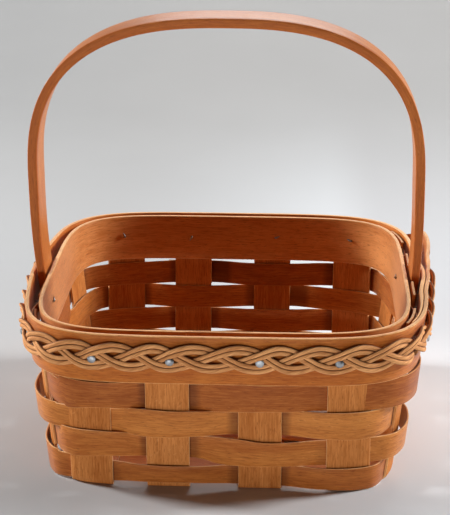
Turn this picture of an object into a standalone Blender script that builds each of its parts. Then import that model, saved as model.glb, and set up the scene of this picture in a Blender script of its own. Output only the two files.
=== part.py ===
"""A small square basket woven from wooden splints, with a fixed bentwood handle.

Eight flat splints cross over and under each other to make the bottom, and their ends are
folded up as sixteen uprights.  Thin weavers run round the uprights, one ring to a row.
A wide band outside and another inside cover the top row and hold both legs of the handle.
A three-ply cord braid lies round the outer band, and tacks go through everything.

X runs along the front, Y runs from the front to the back and Z is up.  The origin is on the
surface that the basket stands on, under the middle of its outline.  Every piece is placed about
the middle of the wall, and all of them are moved together at the end.
"""
import math

import bmesh
import bpy
from mathutils import Matrix, Vector

MM = 0.001

# Least angle between faces, in degrees, that stays a sharp edge on strips, tacks and cords
STRIP_EDGE_ANGLE = 35
TACK_EDGE_ANGLE = 40
CORD_EDGE_ANGLE = 60

# Clearance between pieces that touch on the real basket
CLEARANCE = 0.3 * MM

# Middle of the wall, half lengths at the bottom and at the rim, and how square each outline is
BASE_HALF_X = 65.0 * MM
BASE_HALF_Y = 66.0 * MM
BASE_SQUARENESS = 6.5
RIM_HALF_X = 72.2 * MM
RIM_HALF_Y = 73.4 * MM
RIM_SQUARENESS = 4.8

# Splints of the bottom, folded up as the uprights, and where each one lies as a share of the
# half length that the bottom and the rim both have
SPLINT_WIDTH = 15.9 * MM
SPLINT_THICKNESS = 1.0 * MM
FOLD_RADIUS = 1.8 * MM
LONG_SPLINT_SHARES = (-0.735, -0.288, 0.238, 0.755)
LONG_SPLINT_SKEW_SHARES = (0.0, 0.006, 0.014, 0.032)
OUTER_CROSS_SHARE = 0.727
FOLD_SHARES = (0.0, 0.34, 0.67)
WALL_SHARES = (0.0, 0.45, 1.0)

# Weavers, one ring to a row, and the shorter one that the bands cover
ROWS = 4
WEAVER_HEIGHT = 9.7 * MM
WEAVER_THICKNESS = 0.7 * MM
ROW_GAP = 0.6 * MM
TOP_WEAVER_HEIGHT = 7.6 * MM
TOP_WEAVER_OUTSIDE = (1, 3, 4, 7, 9, 11, 12, 15)
TOP_WEAVER_START = 10
WEAVER_LAP_UPRIGHTS = (10, 9, 14, 13)
LAP_OVERHANG = 2.5 * MM
STEPS_ROUND_CORNER = 5
STEPS_BETWEEN_UPRIGHTS = 3

# Bands at the rim
BAND_HEIGHT = 19.0 * MM
BAND_THICKNESS = 1.5 * MM
BAND_CREVICE = 2.2 * MM
BAND_BULGE = 2.4 * MM
LEFT_BULGE_REACH = 46.0 * MM
RIGHT_BULGE_REACH = 26.0 * MM
OUTER_LAP_START = -56.0 * MM
OUTER_LAP_END = 50.0 * MM
OUTER_LAP_RAMP = 24.0 * MM
LAP_FLARE = 7.4 * MM
LAP_FLARE_START = 2.0 * MM
LAP_FLARE_BOW_SHARE = 0.3
BRAID_REST_PAST_LAP = 4.0 * MM
BRAID_DROP_PAST_LAP = 14.0 * MM
SCARF_LENGTH = 24.0 * MM
SCARF_TIP = 0.3 * MM
SCARF_SPARE_SHARE = 0.02
CORNER_CROWDING = 0.115
OUTER_BAND_STEPS = 74
INNER_BAND_STEPS = 58

# Bentwood handle, thinner on the stretch of each leg that the bands cover
HANDLE_WIDTH = 18.4 * MM
HANDLE_THICKNESS = 3.75 * MM
LEG_THICKNESS = 3.25 * MM
HANDLE_RISE = 101.2 * MM
HANDLE_SPRING = 39.0 * MM
HANDLE_HALF_SPAN = 76.5 * MM
HANDLE_ROUNDNESS = 2.62
HANDLE_LEAN = -0.8 * MM
HANDLE_SWAY = -0.5 * MM
HANDLE_EASE = 0.5 * MM
LEG_INSET = 1.5 * MM
SPRING_SHARES = (0.25, 0.5, 0.75)
ARCH_STEPS = 15

# Braid on the outer band
BRAID_SWING = 3.75 * MM
BRAID_WAVE = 0.85 * MM
BRAID_TILT_SHARE = 0.1
PLIES = 3
PLY_WIDTH = 3.4 * MM
PLY_THICKNESS = 1.0 * MM
EYES_ALONG_SIDE = 2
EYES_ROUND_CORNER = 3
BRAID_END_SHARE = 0.1
BRAID_STATIONS_PER_EYE = 3
BRAID_START_SHARE = 1 / 12
PLY_EDGE_SHARE = 0.35

# How far the middle of the whole outline, loose end and tacks included, lies right of the wall's
OUTLINE_SHIFT = 1.7 * MM

# Tacks, and where each one goes through its upright
TACK_DEPTH = 9.0 * MM
TACK_HEAD_RADIUS = 1.6 * MM
TACK_HEAD_HEIGHT = 0.8 * MM
CROWN_RADIUS_SHARE = 0.8
CROWN_HEIGHT_SHARE = 0.7
TACK_SIDES = 8
HOLE_SIDES = 5
TACK_SHANK_RADIUS = 0.5 * MM
TACK_POINT = 1.4 * MM
TACK_SEAT_SHARE = 0.93
TACK_HOLE_SPARE = 0.35 * MM
TACK_EYE_DROP = 0.9 * MM
FRONT_TACK_SHARES = (0.2, 0.1, 0.0, -0.3)
BACK_TACK_SHARES = (0.04, 0.08, -0.04, -0.08)

# Sizes that follow from the ones above
WEAVE = (SPLINT_THICKNESS + WEAVER_THICKNESS) / 2 + CLEARANCE
WALL_FACE = WEAVE + WEAVER_THICKNESS / 2
LOW_EDGE = SPLINT_THICKNESS + FOLD_RADIUS / 2 + CLEARANCE
ROW_PITCH = WEAVER_HEIGHT + ROW_GAP
BAND_BOTTOM = LOW_EDGE + ROWS * WEAVER_HEIGHT + (ROWS - 1) * ROW_GAP + BAND_CREVICE
RIM_HEIGHT = BAND_BOTTOM + BAND_HEIGHT
TACK_HEIGHT = RIM_HEIGHT - TACK_DEPTH
NARROW_HALF_X = min(BASE_HALF_X, RIM_HALF_X)
NARROW_HALF_Y = min(BASE_HALF_Y, RIM_HALF_Y)
INNER_CROSS = HANDLE_WIDTH / 2 + CLEARANCE + SPLINT_WIDTH / 2
OUTER_CROSS = OUTER_CROSS_SHARE * NARROW_HALF_Y
CROSS_SPLINTS = (-OUTER_CROSS, -INNER_CROSS, INNER_CROSS, OUTER_CROSS)
BAND_INNER_FACE = WALL_FACE + CLEARANCE
BRAID_THICKNESS = 2 * BRAID_WAVE + PLY_THICKNESS
BRAID_LEVEL = CLEARANCE + BRAID_WAVE + PLY_THICKNESS / 2
SPLINTS_PER_SIDE = len(CROSS_SPLINTS)
UPRIGHTS = 4 * SPLINTS_PER_SIDE
FRONT, RIGHT, BACK, LEFT = range(4)


def clear_scene():
    for thing in list(bpy.data.objects):
        bpy.data.objects.remove(thing, do_unlink=True)


def finish(name, colour, roughness, metallic=0.0):
    """A plain finish: one colour, one roughness, wood or metal."""
    material = bpy.data.materials.new(name)
    material.use_nodes = True
    shader = material.node_tree.nodes["Principled BSDF"]
    shader.inputs["Base Color"].default_value = (*colour, 1.0)
    shader.inputs["Roughness"].default_value = roughness
    shader.inputs["Metallic"].default_value = metallic
    material.diffuse_color = (*colour, 1.0)
    return material


def smooth_step(share):
    share = min(max(share, 0.0), 1.0)
    return share * share * (3.0 - 2.0 * share)


def mix(a, b, share):
    return a + (b - a) * share


def wall_sizes(z):
    """Half length, half width and squareness of the wall's middle at height z."""
    share = z / RIM_HEIGHT
    return (mix(BASE_HALF_X, RIM_HALF_X, share), mix(BASE_HALF_Y, RIM_HALF_Y, share),
            mix(BASE_SQUARENESS, RIM_SQUARENESS, share))


def moved_out(x, y, z, out):
    """The point at x, y on the wall's middle, moved squarely out of the wall."""
    a, b, n = wall_sizes(z)
    slope_x = math.copysign((abs(x) / a) ** (n - 1) / a, x)
    slope_y = math.copysign((abs(y) / b) ** (n - 1) / b, y)
    length = math.hypot(slope_x, slope_y)
    return Vector((x + out * slope_x / length, y + out * slope_y / length, z))


def wall_at_angle(angle, z, out=0.0):
    """A point of the wall in the direction of an angle about Z."""
    a, b, n = wall_sizes(z)
    c = math.cos(angle)
    s = math.sin(angle)
    reach = ((abs(c) / a) ** n + (abs(s) / b) ** n) ** (-1.0 / n)
    return moved_out(reach * c, reach * s, z, out)


def wall_at_side(side, along, z, out=0.0):
    """A point of the wall on one side: along is its X on the front and back, else its Y."""
    a, b, n = wall_sizes(z)
    if side in (FRONT, BACK):
        across = b * (1.0 - (abs(along) / a) ** n) ** (1.0 / n)
        return moved_out(along, -across if side == FRONT else across, z, out)
    across = a * (1.0 - (abs(along) / b) ** n) ** (1.0 / n)
    return moved_out(-across if side == LEFT else across, along, z, out)


def angle_of(point):
    return math.atan2(point.y, point.x)


def long_splint_x(index, y):
    return LONG_SPLINT_SHARES[index] * NARROW_HALF_X + LONG_SPLINT_SKEW_SHARES[index] * y


def upright(index):
    """Side and place of one of the sixteen uprights, counted from the front left corner."""
    side, step = divmod(index % UPRIGHTS, SPLINTS_PER_SIDE)
    if side == FRONT:
        return side, long_splint_x(step, -RIM_HALF_Y)
    if side == RIGHT:
        return side, CROSS_SPLINTS[step]
    if side == BACK:
        return side, long_splint_x(SPLINTS_PER_SIDE - 1 - step, RIM_HALF_Y)
    return side, CROSS_SPLINTS[SPLINTS_PER_SIDE - 1 - step]


def columns_of(index):
    """Places of the lines that run along a splint, measured from its middle.

    The outer splints have more of them, because their ends bend round the corners.
    """
    count = 4 if index in (0, SPLINTS_PER_SIDE - 1) else 2
    return [SPLINT_WIDTH * (step / count - 0.5) for step in range(count + 1)]


def add_object(name, mesh, material):
    thing = bpy.data.objects.new(name, mesh)
    bpy.context.scene.collection.objects.link(thing)
    mesh.materials.append(material)
    return thing


def mesh_of(name, body, sharp):
    """A mesh with outward faces, smooth apart from edges sharper than an angle in degrees."""
    bmesh.ops.recalc_face_normals(body, faces=body.faces)
    mesh = bpy.data.meshes.new(name)
    body.to_mesh(mesh)
    body.free()
    mesh.shade_smooth()
    mesh.set_sharp_from_angle(angle=math.radians(sharp))
    return mesh


def loft(name, sections, material, sharp=STRIP_EDGE_ANGLE):
    """A solid through cross-sections, each given as two rows of points that face each other."""
    body = bmesh.new()
    rings = []
    for first, second in sections:
        rings.append([body.verts.new(p) for p in first] + [body.verts.new(p) for p in reversed(second)])
    size = len(rings[0])
    half = size // 2
    for ring, following in zip(rings, rings[1:]):
        for i in range(size):
            j = (i + 1) % size
            body.faces.new((ring[i], ring[j], following[j], following[i]))
    for ring in (rings[0], rings[-1]):
        for i in range(half - 1):
            body.faces.new((ring[i], ring[i + 1], ring[size - 2 - i], ring[size - 1 - i]))
    return add_object(name, mesh_of(name, body, sharp), material)


def hoop_section(angle, bottom, top, inner, outer, flare=0.0):
    """Cross-section of a strip on edge round the wall, whose top may stand further out."""
    return ([wall_at_angle(angle, bottom, inner), wall_at_angle(angle, top, inner + flare)],
            [wall_at_angle(angle, bottom, outer), wall_at_angle(angle, top, outer + flare)])


def between(start, end, count):
    """Places between two others, both left out."""
    return [mix(start, end, step / count) for step in range(1, count)]


# Splints: bottom and uprights

def goes_over(long_index, cross_index):
    """Whether a front-to-back splint lies above the cross splint that it meets."""
    return (long_index + cross_index) % 2 == 0


def floor_line(crossings, raised):
    """Places and levels along a splint in the bottom, from its first crossing to its last."""
    low = SPLINT_THICKNESS / 2
    high = low + SPLINT_THICKNESS + CLEARANCE
    line = []
    for step, (place, up) in enumerate(zip(crossings, raised)):
        level = high if up else low
        start = place - SPLINT_WIDTH / 2
        if step:
            last_place, last_level = line[-1]
            for share in between(0.0, 1.0, STEPS_BETWEEN_UPRIGHTS):
                line.append((mix(last_place, start, share), mix(last_level, level, smooth_step(share))))
        line.append((start, level))
        line.append((place + SPLINT_WIDTH / 2, level))
    return line


def upright_rail(side, along_at, offset, top):
    """One line up an upright: from the flat bottom round the fold and up the wall.

    along_at gives the line's place along the side for a distance from the middle of the
    basket.  The offset is from the middle of the splint's thickness, and the line starts
    where the fold begins.
    """
    outward = -1.0 if side in (FRONT, LEFT) else 1.0
    flat = SPLINT_THICKNESS / 2
    spread = RIM_HALF_Y - BASE_HALF_Y if side in (FRONT, BACK) else RIM_HALF_X - BASE_HALF_X
    lean = math.atan2(spread, RIM_HEIGHT)
    turn = math.pi / 2 - lean
    wall_start = flat + FOLD_RADIUS * (1.0 - math.cos(turn))
    foot = wall_at_side(side, along_at(outward * BASE_HALF_Y), wall_start)
    reach = abs(foot.y if side in (FRONT, BACK) else foot.x)
    centre = reach - FOLD_RADIUS * math.sin(turn)
    radius = FOLD_RADIUS + offset
    rail = []
    for share in FOLD_SHARES:
        swing = turn * share
        out = outward * (centre + radius * math.sin(swing))
        height = flat + FOLD_RADIUS - radius * math.cos(swing)
        along = along_at(out)
        rail.append(Vector((along, out, height)) if side in (FRONT, BACK) else Vector((out, along, height)))
    for share in WALL_SHARES:
        height = mix(wall_start, top, share)
        along = along_at(outward * wall_sizes(height)[1])
        rail.append(wall_at_side(side, along, height, offset))
    return rail


def splint(name, index, sides, along_at, crossings, raised, material):
    """One splint: down the wall at its first side, across the bottom, and up at the other."""
    half = SPLINT_THICKNESS / 2
    top = RIM_HEIGHT - CLEARANCE
    rows = []
    for column in columns_of(index):
        def line_at(place, shift=column):
            return along_at(place) + shift

        pair = []
        for offset in (half, -half):
            first = upright_rail(sides[0], line_at, offset, top)
            last = upright_rail(sides[1], line_at, offset, top)
            middle = []
            for place, level in floor_line(crossings, raised):
                height = level - offset
                across = line_at(place)
                middle.append(Vector((across, place, height)) if sides[0] == FRONT
                              else Vector((place, across, height)))
            pair.append(list(reversed(first)) + middle + last)
        rows.append(pair)
    stations = range(len(rows[0][0]))
    sections = [([row[0][i] for row in rows], [row[1][i] for row in rows]) for i in stations]
    return loft(name, sections, material)


def make_splints(material):
    splints = []
    for index in range(SPLINTS_PER_SIDE):
        raised = [goes_over(index, cross) for cross in range(SPLINTS_PER_SIDE)]

        def along_at(place, number=index):
            return long_splint_x(number, place)

        splints.append(splint(f"long_splint_{index + 1}", index, (FRONT, BACK), along_at,
                              CROSS_SPLINTS, raised, material))
    for index, place in enumerate(CROSS_SPLINTS):
        raised = [not goes_over(step, index) for step in range(SPLINTS_PER_SIDE)]
        crossings = [long_splint_x(step, place) for step in range(SPLINTS_PER_SIDE)]
        splints.append(splint(f"cross_splint_{index + 1}", index, (LEFT, RIGHT),
                              lambda _, fixed=place: fixed, crossings, raised, material))
    return splints


# Weavers

def plateau_angles(index, height):
    """Angles of the corner lines of one upright, in the order that the ring is walked."""
    side, along = upright(index)
    columns = columns_of(index % SPLINTS_PER_SIDE)
    if side in (BACK, LEFT):
        columns = [-column for column in columns]
    angles = [angle_of(wall_at_side(side, along + column, height)) for column in columns]
    return [angles[0] + wrap(angle - angles[0]) for angle in angles]


def wrap(angle):
    return (angle + math.pi) % (2 * math.pi) - math.pi


def weaver(name, bottom, height, outside, first, lapped, material):
    """One ring of weaving that starts at an upright and ends over its own start."""
    middle = bottom + height / 2
    stations = []
    last_step = UPRIGHTS if lapped else UPRIGHTS - 1
    for step in range(last_step + 1):
        index = first + step
        out = WEAVE if outside(index % UPRIGHTS) else -WEAVE
        if step == UPRIGHTS:
            out += math.copysign(WEAVER_THICKNESS + CLEARANCE, out)
        angles = plateau_angles(index, middle)
        if stations:
            last_angle, last_out = stations[-1]
            angles = [last_angle + (angle - last_angle) % (2 * math.pi) for angle in angles]
            corner = index % SPLINTS_PER_SIDE == 0
            steps = STEPS_ROUND_CORNER if corner else STEPS_BETWEEN_UPRIGHTS
            for share in between(0.0, 1.0, steps):
                stations.append((mix(last_angle, angles[0], share), mix(last_out, out, smooth_step(share))))
        stations += [(angle, out) for angle in angles]
    radius = (RIM_HALF_X + BASE_HALF_X) / 2
    if lapped:
        stations.append((stations[-1][0] + LAP_OVERHANG / radius, stations[-1][1]))
    else:
        gap_end = stations[0][0] + 2 * math.pi - CLEARANCE * 2 / radius
        last_angle, last_out = stations[-1]
        for step in range(1, STEPS_BETWEEN_UPRIGHTS + 1):
            share = step / STEPS_BETWEEN_UPRIGHTS
            stations.append((mix(last_angle, gap_end, share),
                             mix(last_out, stations[0][1], smooth_step(share))))
    half = WEAVER_THICKNESS / 2
    sections = [hoop_section(angle, bottom, bottom + height, out - half, out + half)
                for angle, out in stations]
    return loft(name, sections, material)


def make_weavers(material):
    rings = []
    for row in range(1, ROWS + 1):
        bottom = LOW_EDGE + (ROWS - row) * ROW_PITCH
        rings.append(weaver(f"weaver_row_{row}", bottom, WEAVER_HEIGHT,
                            lambda index, number=row: (index + number) % 2 == 1,
                            WEAVER_LAP_UPRIGHTS[row - 1], True, material))
    rings.append(weaver("top_weaver", RIM_HEIGHT - TOP_WEAVER_HEIGHT, TOP_WEAVER_HEIGHT,
                        lambda index: index in TOP_WEAVER_OUTSIDE, TOP_WEAVER_START, False, material))
    return rings


# Bands

def bulge_at(angle):
    """How far the outer band stands further out where it goes round a leg of the handle."""
    point = wall_at_angle(angle, TACK_HEIGHT)
    if abs(point.x) < RIM_HALF_X / 2:
        return 0.0
    reach = RIGHT_BULGE_REACH if point.x > 0 else LEFT_BULGE_REACH
    share = min(abs(point.y) / reach, 1.0)
    return BAND_BULGE * math.cos(share * math.pi / 2) ** 2


def angle_on_right(y):
    return angle_of(wall_at_side(RIGHT, y, TACK_HEIGHT))


def outer_ply(angle):
    """Thickness of the outer band, whose hidden start is thinned, for an angle walked."""
    share = (angle - angle_on_right(OUTER_LAP_START)) * RIM_HALF_X / SCARF_LENGTH
    return mix(SCARF_TIP, BAND_THICKNESS, min(max(share, 0.0), 1.0))


def outer_lap_lift(angle):
    """How far the outer band's last stretch lies over its first one, for an angle walked."""
    full = 2 * math.pi + angle_on_right(OUTER_LAP_START)
    ramp = full - OUTER_LAP_RAMP / RIM_HALF_X
    lift = outer_ply(angle - 2 * math.pi) + CLEARANCE
    return lift * smooth_step((angle - ramp) / (full - ramp))


def lap_flare(angle):
    """How far the loose end of the lap stands off at its top edge, for an angle walked."""
    start = angle_on_right(LAP_FLARE_START)
    share = (angle - 2 * math.pi - start) / (angle_on_right(OUTER_LAP_END) - start)
    share = min(max(share, 0.0), 1.0)
    return LAP_FLARE * share * (1.0 + LAP_FLARE_BOW_SHARE * (1.0 - share))


def hoop_angles(start, end, count):
    """Angles between two others, closer together round the corners."""
    angles = []
    for step in range(count + 1):
        angle = mix(start, end, step / count)
        angles.append(angle + CORNER_CROWDING * math.sin(4 * angle) * min(1.0, step, count - step))
    return angles


def make_outer_band(material):
    start = angle_on_right(OUTER_LAP_START)
    end = 2 * math.pi + angle_on_right(OUTER_LAP_END)
    sections = []
    for angle in hoop_angles(start, end, OUTER_BAND_STEPS):
        inner = BAND_INNER_FACE + bulge_at(angle) + outer_lap_lift(angle)
        sections.append(hoop_section(angle, BAND_BOTTOM, RIM_HEIGHT, inner, inner + outer_ply(angle),
                                     lap_flare(angle)))
    return loft("outer_band", sections, material)


def make_inner_band(material):
    """The inner band is one strip whose thinned ends lie over each other in a scarf."""
    start = angle_of(wall_at_side(FRONT, -SCARF_LENGTH / 2, TACK_HEIGHT))
    reach = angle_of(wall_at_side(FRONT, SCARF_LENGTH / 2, TACK_HEIGHT)) - start
    outer = -BAND_INNER_FACE
    inner = outer - BAND_THICKNESS
    sections = [hoop_section(start, BAND_BOTTOM, RIM_HEIGHT, outer - SCARF_TIP, outer)]
    thick = BAND_THICKNESS - CLEARANCE - SCARF_TIP
    sections.append(hoop_section(start + reach, BAND_BOTTOM, RIM_HEIGHT, outer - thick, outer))
    around = start + 2 * math.pi
    spare = reach * SCARF_SPARE_SHARE
    for angle in hoop_angles(start + reach + spare, around - spare, INNER_BAND_STEPS):
        sections.append(hoop_section(angle, BAND_BOTTOM, RIM_HEIGHT, inner, outer))
    sections.append(hoop_section(around, BAND_BOTTOM, RIM_HEIGHT, inner, inner + thick))
    sections.append(hoop_section(around + reach, BAND_BOTTOM, RIM_HEIGHT, inner, inner + SCARF_TIP))
    return loft("inner_band", sections, material)


# Handle

def leg_out():
    """Where the middle of a leg's thickness lies, outside the top weaver."""
    return -WEAVE + WEAVER_THICKNESS / 2 + CLEARANCE + LEG_THICKNESS / 2


def handle_line():
    """Middle line of the right half of the handle, from the leg's foot to the top."""
    span = HANDLE_HALF_SPAN - HANDLE_THICKNESS / 2
    flare = (RIM_HALF_X - BASE_HALF_X) / RIM_HEIGHT
    foot = BAND_BOTTOM + LEG_INSET
    rim_x = RIM_HALF_X + leg_out()
    line = [(rim_x - flare * (RIM_HEIGHT - foot), foot), (rim_x, RIM_HEIGHT)]
    for share in SPRING_SHARES:
        rise = (2 * share ** 3 - 3 * share ** 2 + 1) * rim_x
        rise += (share ** 3 - 2 * share ** 2 + share) * flare * HANDLE_SPRING
        rise += (3 * share ** 2 - 2 * share ** 3) * span
        line.append((rise, RIM_HEIGHT + HANDLE_SPRING * share))
    height = HANDLE_RISE - HANDLE_SPRING - HANDLE_THICKNESS / 2
    power = 2.0 / HANDLE_ROUNDNESS
    for step in range(ARCH_STEPS + 1):
        swing = math.pi / 2 * step / ARCH_STEPS
        line.append((span * max(math.cos(swing), 0.0) ** power,
                     RIM_HEIGHT + HANDLE_SPRING + height * math.sin(swing) ** power))
    return line


def handle_shift(z):
    """How far the handle stands off to one side at a height: a lean and a bow of its middle."""
    share = max(z - RIM_HEIGHT, 0.0) / HANDLE_RISE
    return HANDLE_LEAN * share + HANDLE_SWAY * math.sin(min(share, 1.0) * math.pi)


def handle_half_thickness(z):
    share = smooth_step((z - RIM_HEIGHT) / HANDLE_SPRING)
    return mix(LEG_THICKNESS, HANDLE_THICKNESS, share) / 2


def make_handle(material):
    right = handle_line()
    left = [(-x, z) for x, z in reversed(right[:-1])]
    line = right + left
    sections = []
    for step, (x, z) in enumerate(line):
        before = line[max(step - 1, 0)]
        after = line[min(step + 1, len(line) - 1)]
        along = Vector((after[0] - before[0], 0.0, after[1] - before[1])).normalized()
        out = Vector((along.z, 0.0, -along.x))
        middle = Vector((x + handle_shift(z), 0.0, z))
        half = handle_half_thickness(z)
        wide = Vector((0.0, HANDLE_WIDTH / 2, 0.0))
        ease = Vector((0.0, HANDLE_EASE, 0.0))
        full = out * half
        less = out * (half - HANDLE_EASE)
        sections.append(([middle - wide + less, middle - wide + ease + full,
                          middle + wide - ease + full, middle + wide + less],
                         [middle - wide - less, middle - wide + ease - full,
                          middle + wide - ease - full, middle + wide - less]))
    return loft("handle", sections, material)


# Tacks

def tack_places():
    """Where each tack goes: its name, its side and its place along that side."""
    places = []
    for index in range(UPRIGHTS):
        side, along = upright(index)
        if side == FRONT:
            along += FRONT_TACK_SHARES[index % SPLINTS_PER_SIDE] * SPLINT_WIDTH
        if side == BACK:
            along += BACK_TACK_SHARES[index % SPLINTS_PER_SIDE] * SPLINT_WIDTH
        places.append((f"tack_{index + 1:02d}", side, along))
    places.append(("handle_tack_right", RIGHT, 0.0))
    places.append(("handle_tack_left", LEFT, 0.0))
    return places


def lap_height(walked, height):
    """How far the lap's outer face lies outside the first ply's at a height."""
    return outer_lap_lift(walked) + lap_flare(walked) * (height - BAND_BOTTOM) / BAND_HEIGHT


def band_face(angle, height):
    """Outer face of the outer band, as a distance from the middle of the wall.

    Past the loose end of the lap it is the line that the braid takes down to the first ply.
    """
    end = angle_on_right(OUTER_LAP_END)
    past = (angle - end) % (2 * math.pi)
    drop = (past * RIM_HALF_X - BRAID_REST_PAST_LAP) / BRAID_DROP_PAST_LAP
    if drop < 1.0:
        lap = lap_height(end + 2 * math.pi, height) * (1.0 - smooth_step(drop))
    else:
        lap = lap_height(end + past, height)
    return BAND_INNER_FACE + BAND_THICKNESS + bulge_at(angle) + lap


def tack_axis(side, along):
    """Matrix of a tack: its Z points out of the wall, from the middle of the wall."""
    middle = wall_at_side(side, along, TACK_HEIGHT)
    out = (wall_at_side(side, along, TACK_HEIGHT, BAND_THICKNESS) - middle).normalized()
    turn = out.to_track_quat("Z", "Y").to_matrix().to_4x4()
    return Matrix.Translation(middle) @ turn


def seat_of(side, along):
    """How far out of the wall's middle the underside of a tack's head lies."""
    angle = angle_of(wall_at_side(side, along, TACK_HEIGHT))
    face = band_face(angle, TACK_HEIGHT + TACK_HEAD_RADIUS)
    return face + CLEARANCE + TACK_SEAT_SHARE * BRAID_THICKNESS


def turned(body, profile, matrix, sides):
    """Add a closed turned solid: profile runs from one end on the axis to the other."""
    rings = []
    for radius, height in profile:
        if radius == 0.0:
            rings.append([body.verts.new(matrix @ Vector((0.0, 0.0, height)))])
            continue
        ring = []
        for step in range(sides):
            swing = 2 * math.pi * step / sides
            place = Vector((radius * math.cos(swing), radius * math.sin(swing), height))
            ring.append(body.verts.new(matrix @ place))
        rings.append(ring)
    for ring, following in zip(rings, rings[1:]):
        for i in range(sides):
            j = (i + 1) % sides
            corners = [ring[i % len(ring)], ring[j % len(ring)],
                       following[j % len(following)], following[i % len(following)]]
            face = list(dict.fromkeys(corners))
            body.faces.new(face)


def make_tacks(material):
    for name, side, along in tack_places():
        seat = seat_of(side, along)
        point = -BAND_INNER_FACE - BAND_THICKNESS - TACK_POINT
        profile = [(0.0, point), (TACK_SHANK_RADIUS, point + TACK_POINT), (TACK_SHANK_RADIUS, seat),
                   (TACK_HEAD_RADIUS, seat),
                   (TACK_HEAD_RADIUS * CROWN_RADIUS_SHARE, seat + TACK_HEAD_HEIGHT * CROWN_HEIGHT_SHARE),
                   (0.0, seat + TACK_HEAD_HEIGHT)]
        body = bmesh.new()
        turned(body, profile, Matrix.Identity(4), TACK_SIDES)
        tack = add_object(name, mesh_of(name, body, TACK_EDGE_ANGLE), material)
        tack.matrix_world = tack_axis(side, along)


def make_tack_cutter(material):
    """Clearance holes for all the tacks, as one hidden cutter."""
    body = bmesh.new()
    radius = TACK_SHANK_RADIUS + TACK_HOLE_SPARE
    for _, side, along in tack_places():
        end = seat_of(side, along) + TACK_HEAD_HEIGHT
        start = -BAND_INNER_FACE - BAND_THICKNESS - TACK_POINT
        profile = [(0.0, start), (radius, start), (radius, end), (0.0, end)]
        turned(body, profile, tack_axis(side, along), HOLE_SIDES)
    cutter = add_object("tack_holes", mesh_of("tack_holes", body, TACK_EDGE_ANGLE), material)
    cutter.hide_render = True
    cutter.display_type = "WIRE"
    return cutter


def drill(thing, cutter):
    hole = thing.modifiers.new("tack holes", "BOOLEAN")
    hole.operation = "DIFFERENCE"
    hole.solver = "EXACT"
    hole.object = cutter


# Braid

def braid_marks():
    """Angles of the tacks in walking order, each with the number of eyes passed so far."""
    marks = []
    eyes = 0
    places = tack_places()
    last_front = SPLINTS_PER_SIDE - 1
    for index in range(last_front, last_front + UPRIGHTS + 2):
        side, along = places[index % UPRIGHTS][1:]
        angle = angle_of(wall_at_side(side, along, TACK_HEIGHT))
        if marks:
            angle = marks[-1][0] + (angle - marks[-1][0]) % (2 * math.pi)
            eyes += EYES_ROUND_CORNER if index % SPLINTS_PER_SIDE == 0 else EYES_ALONG_SIDE
        marks.append((angle, eyes))
    return marks


def angle_of_eye(marks, eyes):
    """Angle of a place along the braid, counted in eyes from the last tack on the front."""
    for (angle, count), (next_angle, next_count) in zip(marks, marks[1:]):
        if eyes <= next_count:
            return mix(angle, next_angle, (eyes - count) / (next_count - count))
    return marks[-1][0]


def braid_stations():
    """Angles along the braid, each with the eyes passed, from the front right corner round."""
    marks = braid_marks()
    start = EYES_ROUND_CORNER / 2
    end = marks[-2][1] + EYES_ROUND_CORNER / 2 - BRAID_END_SHARE
    count = round((end - start) * BRAID_STATIONS_PER_EYE)
    places = [mix(start, end, step / count) for step in range(count + 1)]
    return [(angle_of_eye(marks, place), place) for place in places]


def make_braid(material):
    plies = []
    stations = braid_stations()
    for number in range(PLIES):
        sections = []
        for angle, eyes in stations:
            phase = 2 * math.pi * (BRAID_START_SHARE + (eyes + number) / PLIES)
            lift = BRAID_SWING * math.sin(phase)
            wave = math.sin(2 * phase)
            tilt = BRAID_TILT_SHARE * math.cos(phase)
            half = PLY_WIDTH / 2
            top_row = []
            low_row = []
            for share, bulk in ((-1.0, PLY_EDGE_SHARE), (0.0, 1.0), (1.0, PLY_EDGE_SHARE)):
                height = TACK_HEIGHT + TACK_EYE_DROP + lift + share * half
                level = band_face(angle, height) + BRAID_LEVEL + BRAID_WAVE * wave
                out = level + share * half * tilt
                thick = PLY_THICKNESS / 2 * bulk
                top_row.append(wall_at_angle(angle, height, out + thick))
                low_row.append(wall_at_angle(angle, height, out - thick))
            sections.append((top_row, low_row))
        plies.append(loft(f"braid_ply_{number + 1}", sections, material, CORD_EDGE_ANGLE))
    return plies


def build():
    clear_scene()
    splint_wood = finish("splint maple", (0.50, 0.22, 0.08), 0.55)
    weaver_wood = finish("weaver maple", (0.45, 0.18, 0.06), 0.55)
    band_wood = finish("band maple", (0.42, 0.16, 0.05), 0.5)
    handle_wood = finish("handle wood", (0.55, 0.27, 0.11), 0.5)
    cord = finish("braid cord", (0.36, 0.20, 0.10), 0.85)
    steel = finish("tack steel", (0.62, 0.64, 0.66), 0.35, 1.0)
    splints = make_splints(splint_wood)
    weavers = make_weavers(weaver_wood)
    outer = make_outer_band(band_wood)
    inner = make_inner_band(band_wood)
    handle = make_handle(handle_wood)
    plies = make_braid(cord)
    make_tacks(steel)
    cutter = make_tack_cutter(steel)
    for piece in splints + [weavers[-1], outer, inner, handle] + plies:
        drill(piece, cutter)
    for thing in bpy.data.objects:
        thing.location.x -= OUTLINE_SHIFT


build()
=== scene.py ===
# %% [markdown]
# # A small woven splint basket
#
# The basket is woven from flat wooden splints round a square bottom.  Two wide bands hold the
# rim and the legs of a bentwood handle, a cord braid lies round the outer band, and tacks go
# through everything.  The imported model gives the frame: every size below is its size, so each
# dressed piece lies where its plain solid does.

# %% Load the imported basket
import bisect
import math

import bmesh
import bpy
from mathutils import Matrix, Vector, noise


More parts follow.
